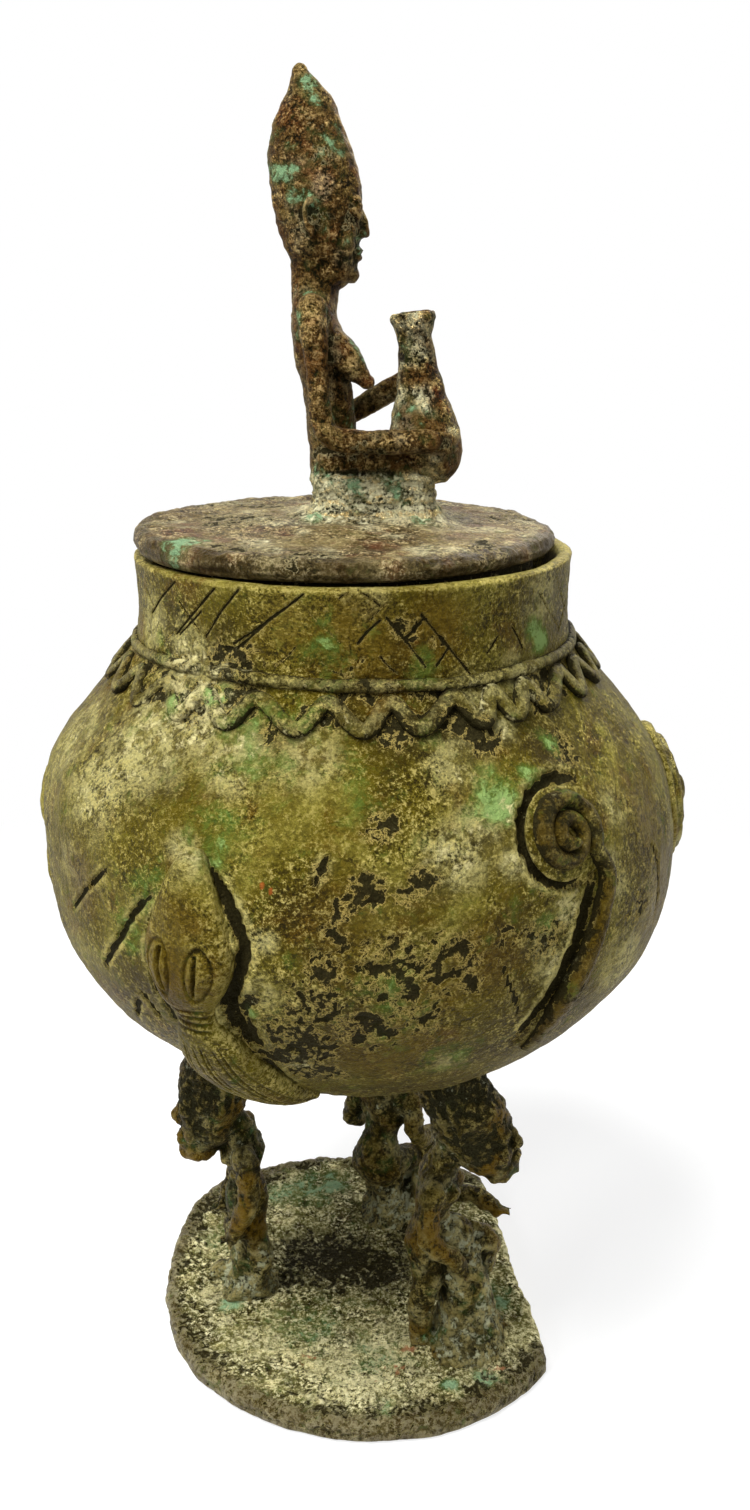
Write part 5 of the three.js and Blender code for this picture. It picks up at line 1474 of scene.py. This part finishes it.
def bearerHead(figure, chin, long):
    wide, deep, beard = build["headWide"], build["headDeep"], figure["beard"]

    def tilt(share):
        return figure["headAhead"] + figure["headTilt"] * (0.5 - share)

    def level(share):
        return chin + share * long

    def front(share):
        return tilt(0.62 * share) + 0.5 * deep * (0.72 + 0.5 * share - 0.42 * share ** 2)

    parts = [limb([
        [tilt(0) + 1.5, 0, level(0.14), 0.3 * wide, 0.28 * deep],
        [tilt(0.3) + 0.6, 0, level(0.32), 0.44 * wide, 0.44 * deep],
        [tilt(0.5), 0, level(0.55), wide / 2, deep / 2],
        [tilt(0.8), 0, level(0.8), 0.46 * wide, 0.47 * deep],
        [tilt(1), 0, level(1) + 2, 0.42 * wide, 0.42 * deep],
    ], 28, 30)]
    parts += calmFace(level(0.04), level(0.86), front, wide)
    for out in (-1, 1):
        parts += ear(tilt(0.5) - 1.0, 0.46 * out * wide, level(0.47), build["earTall"], out)
    if beard:
        parts.append(limb([
            [tilt(0.1) + 2, 0, level(0.2), 4.6, 3.6],
            [tilt(0) + 2.5 + 0.6 * beard, 0, level(0.14) - 0.6 * beard, 3.4, 2.8],
            [tilt(0) + 2 + beard, 0, level(0.2) - beard, 2.2, 2],
        ], 16, 12))
    for turn in np.radians(np.linspace(100, 260, build["ridges"])):
        x, y = deep * math.cos(turn), wide * math.sin(turn)
        parts.append(limb([
            [tilt(0.45) + 0.47 * x, 0.47 * y, level(0.42), 0.7, 0.6],
            [tilt(0.65) + 0.5 * x, 0.5 * y, level(0.66), 0.9, 0.8],
            [tilt(0.9) + 0.44 * x, 0.44 * y, level(0.92), 0.8, 0.7],
        ], 8, 12))
    return parts


def bearerLeg(hipX, hipZ, out, foot, knee):
    leg, long = build["leg"], build["foot"]
    footX, footY = foot
    kneeX, kneeY, kneeZ = knee
    parts = [
        limb([
            [hipX, 0.55 * footY, hipZ, leg + 1.4, leg + 1.4],
            [(hipX + kneeX) / 2 + 0.4, (0.55 * footY + kneeY) / 2, (hipZ + kneeZ) / 2, leg + 0.6, leg + 0.6],
            [kneeX, kneeY, kneeZ, leg, leg + 0.2],
            [(kneeX + footX) / 2 - 0.8, (kneeY + footY) / 2, (kneeZ + 3) / 2, 0.92 * leg, leg],
            [footX, footY, 3.4, 0.72 * leg, 0.74 * leg],
        ], 18, 24),
        limb([
            [footX - 1.5, footY, 2.2, 2.9, 2.3],
            [footX + 0.5 * long, footY, 1.9, 3.5, 2.0],
            [footX + long - 4, footY, 1.5, 3.2, 1.5],
        ], 16, 10),
    ]
    for toe in range(5):
        spot = (footX + long - 2.2 - 0.35 * toe, footY - out * (2.4 - 1.2 * toe), 1.3)
        parts.append(blob(spot, (1.7, 0.75, 1.0), sides=10))
    return parts


def bearerArm(hipZ, chestX, chestZ, out, hand):
    r, half = build["arm"], build["chestWide"] / 2
    handX, handY, handZ = hand
    parts = [limb([
        [chestX - 0.4, out * (half - 0.6), chestZ + 1.5, r + 0.9, r + 0.9],
        [chestX - 0.8, out * (half + 2.4), (chestZ + hipZ) / 2, r, r],
        [0.5 * handX, 0.4 * handY + out * 0.8 * half, 0.4 * chestZ + 0.6 * handZ - 3, 0.92 * r, 0.92 * r],
        [handX, handY, handZ, 0.8 * r, 0.7 * r],
    ], 16, 24)]
    for finger in range(4):
        parts.append(limb([
            [handX + 0.5, handY - out * (1.5 - finger), handZ + 0.6, 0.65, 0.65],
            [handX + 3.6, handY - out * (1.7 - 1.1 * finger), handZ - 0.6, 0.55, 0.55],
        ], 8, 5))
    return parts


def makeBearer(figure, seed):
    hipX, hipZ = figure["hips"]
    chestX, chestZ = 0.4 * hipX, hipZ + build["torso"]
    turn, floor = math.radians(figure["facing"]), plate["thickness"]
    ahead, long = figure["headAhead"], figure["headLength"]
    headX, headY = figure["x"] + ahead * math.cos(turn), figure["y"] + ahead * math.sin(turn)
    chin = bowlBottomOver(headX, headY) - floor - long
    parts = bearerBody(figure, hipX, hipZ, chestX, chestZ, chin + 0.4 * long) + bearerHead(figure, chin, long)
    for out, foot, knee, hand in zip((-1, 1), figure["feet"], figure["knees"], figure["hands"]):
        parts += bearerLeg(hipX, hipZ, out, foot, knee) + bearerArm(hipZ, chestX, chestZ, out, hand)
    parts.append(limb(figure["crust"], 24, 20))
    stand = (figure["x"], figure["y"], floor)
    parts = [(placed(points, figure["facing"], stand), faces) for points, faces in parts]
    mesh = oneSkin(parts, build["voxel"])
    points = coordsOf(mesh)
    heap = placed(np.array(figure["crust"], float)[:, :3], figure["facing"], stand)
    onHeap = smoothstep(14, 8, nearLine(points, heap)[0])
    lift = layers(points, [(0.85, 6.5, 3, seed), (0.42, 2.2, 3, seed + 1)])
    lift += onHeap * 0.7 * cloud(points, 3.4, 3, seed + 6)
    points = lumpy(mesh, points, lift)
    points[:, 2] = np.maximum(points[:, 2], floor - build["crustSunk"])
    setCoords(mesh, points)
    foot = smoothstep(22, 8, points[:, 2])
    heapPale = onHeap * patches(points, 0.9, -0.3, 0.2, 6, seed + 7)
    footPale = np.maximum(0.7 * foot, patches(points, 0.4, 0, 0.5, 8, seed + 3))
    # painted shade: the figures' upper parts, under the bowl, are darkened through the dark mark
    under = smoothstep(60, 76, points[:, 2])  # in the shade of the bowl
    marks = {
        "dark": patches(points, 0.6, -0.1, 0.5, 9, seed + 2) * (1 - 0.5 * foot) + 0.6 * under,
        "pale": np.maximum(heapPale, footPale),
        "green": np.maximum(patches(points, 0.5, 0.05, 0.5, 9, seed + 4),
                            spotsOn(points, [(*spot, 0.6) for spot in figure["patches"]])),
        "worn": patches(points, figure["worn"], 0.0, 0.3, 12, seed + 5) * (1 - onHeap),
    }
    nodes = [figure["nodes"] + "_figure_" + part for part in ("body", "head", "right_arm", "left_arm")]
    addPiece(figure["name"], mesh, "bearer", nodes, marks)


for number, figure in enumerate(bearers):
    makeBearer(figure, 100 + 10 * number)
print("bearers stand")


# Seated figure on the lid, facing +X

sitter = {
    "ground": 236.95,
    "seatBack": -9.8,
    "seatFront": 21.8,
    "seatWide": 20.0,
    "seatTall": 11.0,
    "baseX": -4.6,
    "shoulder": 51.5,
    "shoulderWide": 23.0,
    "lean": -3.4,
    "chin": 55.0,
    "top": 103.7,
    "headDeep": 21.4,
    "headWide": 17.6,
    "topLean": -3.2,
    "headX": -7.4,
    "arm": 2.9,
    "thigh": 4.2,
    "breast": 3.9,
    "skull": 0.66,  # share of the head up to the top of the skull, under the pointed hair
    "voxel": 0.46,
    "skin": [(0.4, 7, 3, 201), (0.2, 2.2, 3, 202)],
}
jar = {
    "footX": 20.0,
    "topX": 15.6,
    "tall": 41.2,
    "foot": 244.55,
    "belly": 9.1,
    "neck": 4.2,
    "lip": 5.7,
    "mouthDeep": 3.4,
    "columns": 110,
    "skin": [(0.45, 7, 3, 211), (0.2, 2.2, 2, 212)],
}


def roundedBlock(back, front, wide, low, high, taper=0.8):
    way = circle(72)
    square = np.sign(way) * np.abs(way) ** 0.45
    middle, halfLong, halfWide = (back + front) / 2, (front - back) / 2, wide / 2
    rings = []
    for share in np.linspace(0, 1, 14):
        edge = min(share, 1 - share) * (high - low)
        shrink = max(1.4 - edge, 0) ** 2 * 0.6 + taper * share
        z = low + (high - low) * share
        rings.append([middle, 0, z] + square * [halfLong - shrink, halfWide - shrink, 0])
    return capped(np.array(rings), [middle, 0, low], [middle, 0, high])


def sitterArm(chestX, shoulderZ, side, hand, elbowX, elbowZ):
    r, half = sitter["arm"], sitter["shoulderWide"] / 2
    handX, handY, handZ = hand
    parts = [limb([
        [chestX - 0.6, side * (half - r), shoulderZ - 1.7, 1.2 * r, 1.25 * r],
        [(chestX + elbowX) / 2 - 0.9, side * half, (shoulderZ + elbowZ) / 2, r, r],
        [elbowX, side * (half + 0.6), elbowZ + 1, r, r],
        [(elbowX + handX) / 2, side * (half - 0.6), (elbowZ + handZ) / 2 - 0.6, r, r],
        [handX, handY, handZ, 0.85 * r, r],
    ], 18, 40)]
    for finger in range(4):
        z = handZ + 1.8 - 1.2 * finger
        parts.append(limb([
            [handX - 0.4, handY, z, 0.75, 0.75],
            [handX + 2.6, handY - side * 0.4, z - 0.1, 0.7, 0.7],
            [handX + 5.0, handY - side * 2.0, z - 0.3, 0.6, 0.6],
        ], 8, 8))
    return parts


def makeSitter():
    s = sitter
    ground, baseX, headX, full, thigh = s["ground"], s["baseX"], s["headX"], s["breast"], s["thigh"]
    hipZ, shoulderZ, chin, top = [ground + s[key] for key in ("seatTall", "shoulder", "chin", "top")]
    chestX = baseX + s["lean"]
    long, wide, deep = top - chin, s["headWide"], s["headDeep"]
    parts = [
        roundedBlock(s["seatBack"], s["seatFront"], s["seatWide"], ground - 1.0, hipZ),
        limb([
            [baseX + 1.6, 0, hipZ - 2, 8, 7],
            [baseX + 0.4, 0, hipZ + 8, 6.4, 6.2],
            [baseX - 0.9, 0, hipZ + 20, 7, 6],
            [chestX + 0.4, 0, shoulderZ - 9, 9, 6.4],
            [chestX - 0.4, 0, shoulderZ - 3, 0.42 * s["shoulderWide"], 5.6],
            [chestX - 0.2, 0, chin + 1, 5, 5.8],
            [headX - 0.6, 0, chin + 8, 4.8, 5.6],
        ], 30, 44),
        limb([
            [headX + 2.4, 0, chin + 0.09 * long, 0.32 * wide, 0.34 * deep],
            [headX + 1.2, 0, chin + 0.24 * long, 0.44 * wide, 0.46 * deep],
            [headX, 0, chin + 0.43 * long, wide / 2, deep / 2],
            [headX - 1.6, 0, chin + 0.62 * long, 0.47 * wide, 0.46 * deep],
            [headX + 0.62 * s["topLean"], 0, chin + 0.8 * long, 0.33 * wide, 0.33 * deep],
            [headX + s["topLean"], 0, top - 2.1, 2.1, 2.1],
        ], 34, 52),
    ]

    def front(share):
        return headX + 2.2 * (1 - share) + 0.5 * deep * (0.68 + 0.62 * share - 0.42 * share ** 2)

    def level(share):
        return hipZ + share * (shoulderZ - hipZ)

    parts += calmFace(chin + 0.5, chin + s["skull"] * long, front, wide)
    for side in (-1, 1):
        parts += ear(headX - 1.5, side * 0.47 * wide, chin + 0.3 * long, 8.5, side)
        parts += [
            limb([
                [chestX + 2.1, side * 3.7, level(0.82), 0.8 * full, 0.8 * full],
                [chestX + 6.9, side * 4.6, level(0.67), full, full],
                [chestX + 12, side * 5.1, level(0.54), 0.55 * full, 0.45 * full],
            ], 18, 14),
            blob((chestX + 13.2, side * 5.2, level(0.53)), (1.2, 1.1, 1.2)),
            limb([
                [baseX, side * 4.1, hipZ + 2.1, thigh, thigh],
                [2.5, side * 4.5, hipZ + 2.4, thigh, thigh],
                [9.8, side * 4.7, hipZ + 2.0, thigh, 0.9 * thigh],
                [14.5, side * 6.4, hipZ - 0.6, 0.8 * thigh, 0.7 * thigh],
            ], 20, 20),
        ]
    r = s["arm"]
    nearHand = (jar["footX"], -jar["belly"] - 0.7, jar["foot"] + 0.27 * jar["tall"])
    farHand = (jar["topX"], jar["neck"] + r, jar["foot"] + 0.62 * jar["tall"])
    parts += sitterArm(chestX, shoulderZ, -1, nearHand, chestX + r, nearHand[2] + 0.5 * r)
    parts += sitterArm(chestX, shoulderZ, 1, farHand, baseX + 0.7 * r, farHand[2] - 3.4 * r)
    mesh = oneSkin(parts, s["voxel"])
    points = coordsOf(mesh)
    zs = points[:, 2]
    onSeat = smoothstep(hipZ + 1, hipZ - 1, zs)
    lift = layers(points, s["skin"]) + onSeat * 0.6 * cloud(points * (0.5, 0.5, 1.4), 2.6, 3, 203)
    lift += 1.4 * smoothstep(ground + 3.5, ground, zs)
    lumpy(mesh, points, lift)
    marks = {
        "green": np.maximum(spotsOn(points, [(-9, -2, 336, 3, 1)]), patches(points, 0.6, 0.05, 0.5, 8, 204)),
        "pale": np.maximum(onSeat, patches(points, 0.3, 0, 0.5, 7, 205)),
        "worn": np.maximum(patches(points, 1, -0.1, 0.4, 9, 206), 0.65) * (1 - onSeat),
        # a dark band at the lap, just above the seat: painted shade below the forearms
        "dark": patches(points, 0.4, 0, 0.5, 10, 207) + 0.5 * smoothstep(6, 0, np.abs(zs - hipZ - 4)),
    }
    nodes = ["figure_seat", "figure_torso", "figure_head", "figure_near_arm", "figure_far_arm"]
    addPiece("seatedFigure", mesh, "sitter", nodes, marks)


def makeJar():
    tall, belly, neck, lip, foot = jar["tall"], jar["belly"], jar["neck"], jar["lip"], jar["foot"]
    mouth = tall - jar["mouthDeep"]
    outline = [
        (0.5 * belly, 0), (0.86 * belly, 0.09 * tall), (belly, 0.25 * tall), (0.86 * belly, 0.4 * tall),
        (0.66 * belly, 0.56 * tall), (0.52 * belly, 0.7 * tall), (neck, 0.86 * tall),
        (0.9 * lip, 0.93 * tall), (lip, 0.965 * tall), (lip - 0.4, tall), (lip - 1.4, tall),
        (neck - 1.2, tall - 1.6), (neck - 1.8, mouth),
    ]
    rings = turned(through(outline, np.linspace(0, 1, 96)), circle(jar["columns"]))
    points, faces = capped(rings, [0, 0, 0], [0, 0, mouth])
    lean = Matrix.Rotation(math.atan2(jar["topX"] - jar["footX"], tall), 3, "Y")
    points = points @ np.array(lean).T + (jar["footX"], 0, foot)
    mesh = meshFrom("jar", points, faces)
    lumpy(mesh, points, layers(points, jar["skin"]))
    marks = {
        "worn": patches(points, 1, -0.1, 0.4, 8, 213),
        "green": patches(points, 0.4, 0.0, 0.5, 7, 214),
        "pale": patches(points, 0.8, -0.2, 0.5, 6, 215),
        # darker towards its foot, down in the lap
        "dark": 0.7 * smoothstep(12, 3, points[:, 2] - foot),
    }
    addPiece("jarInHands", mesh, "sitter", ["jar"], marks)


makeSitter()
makeJar()
print("seated figure is done")
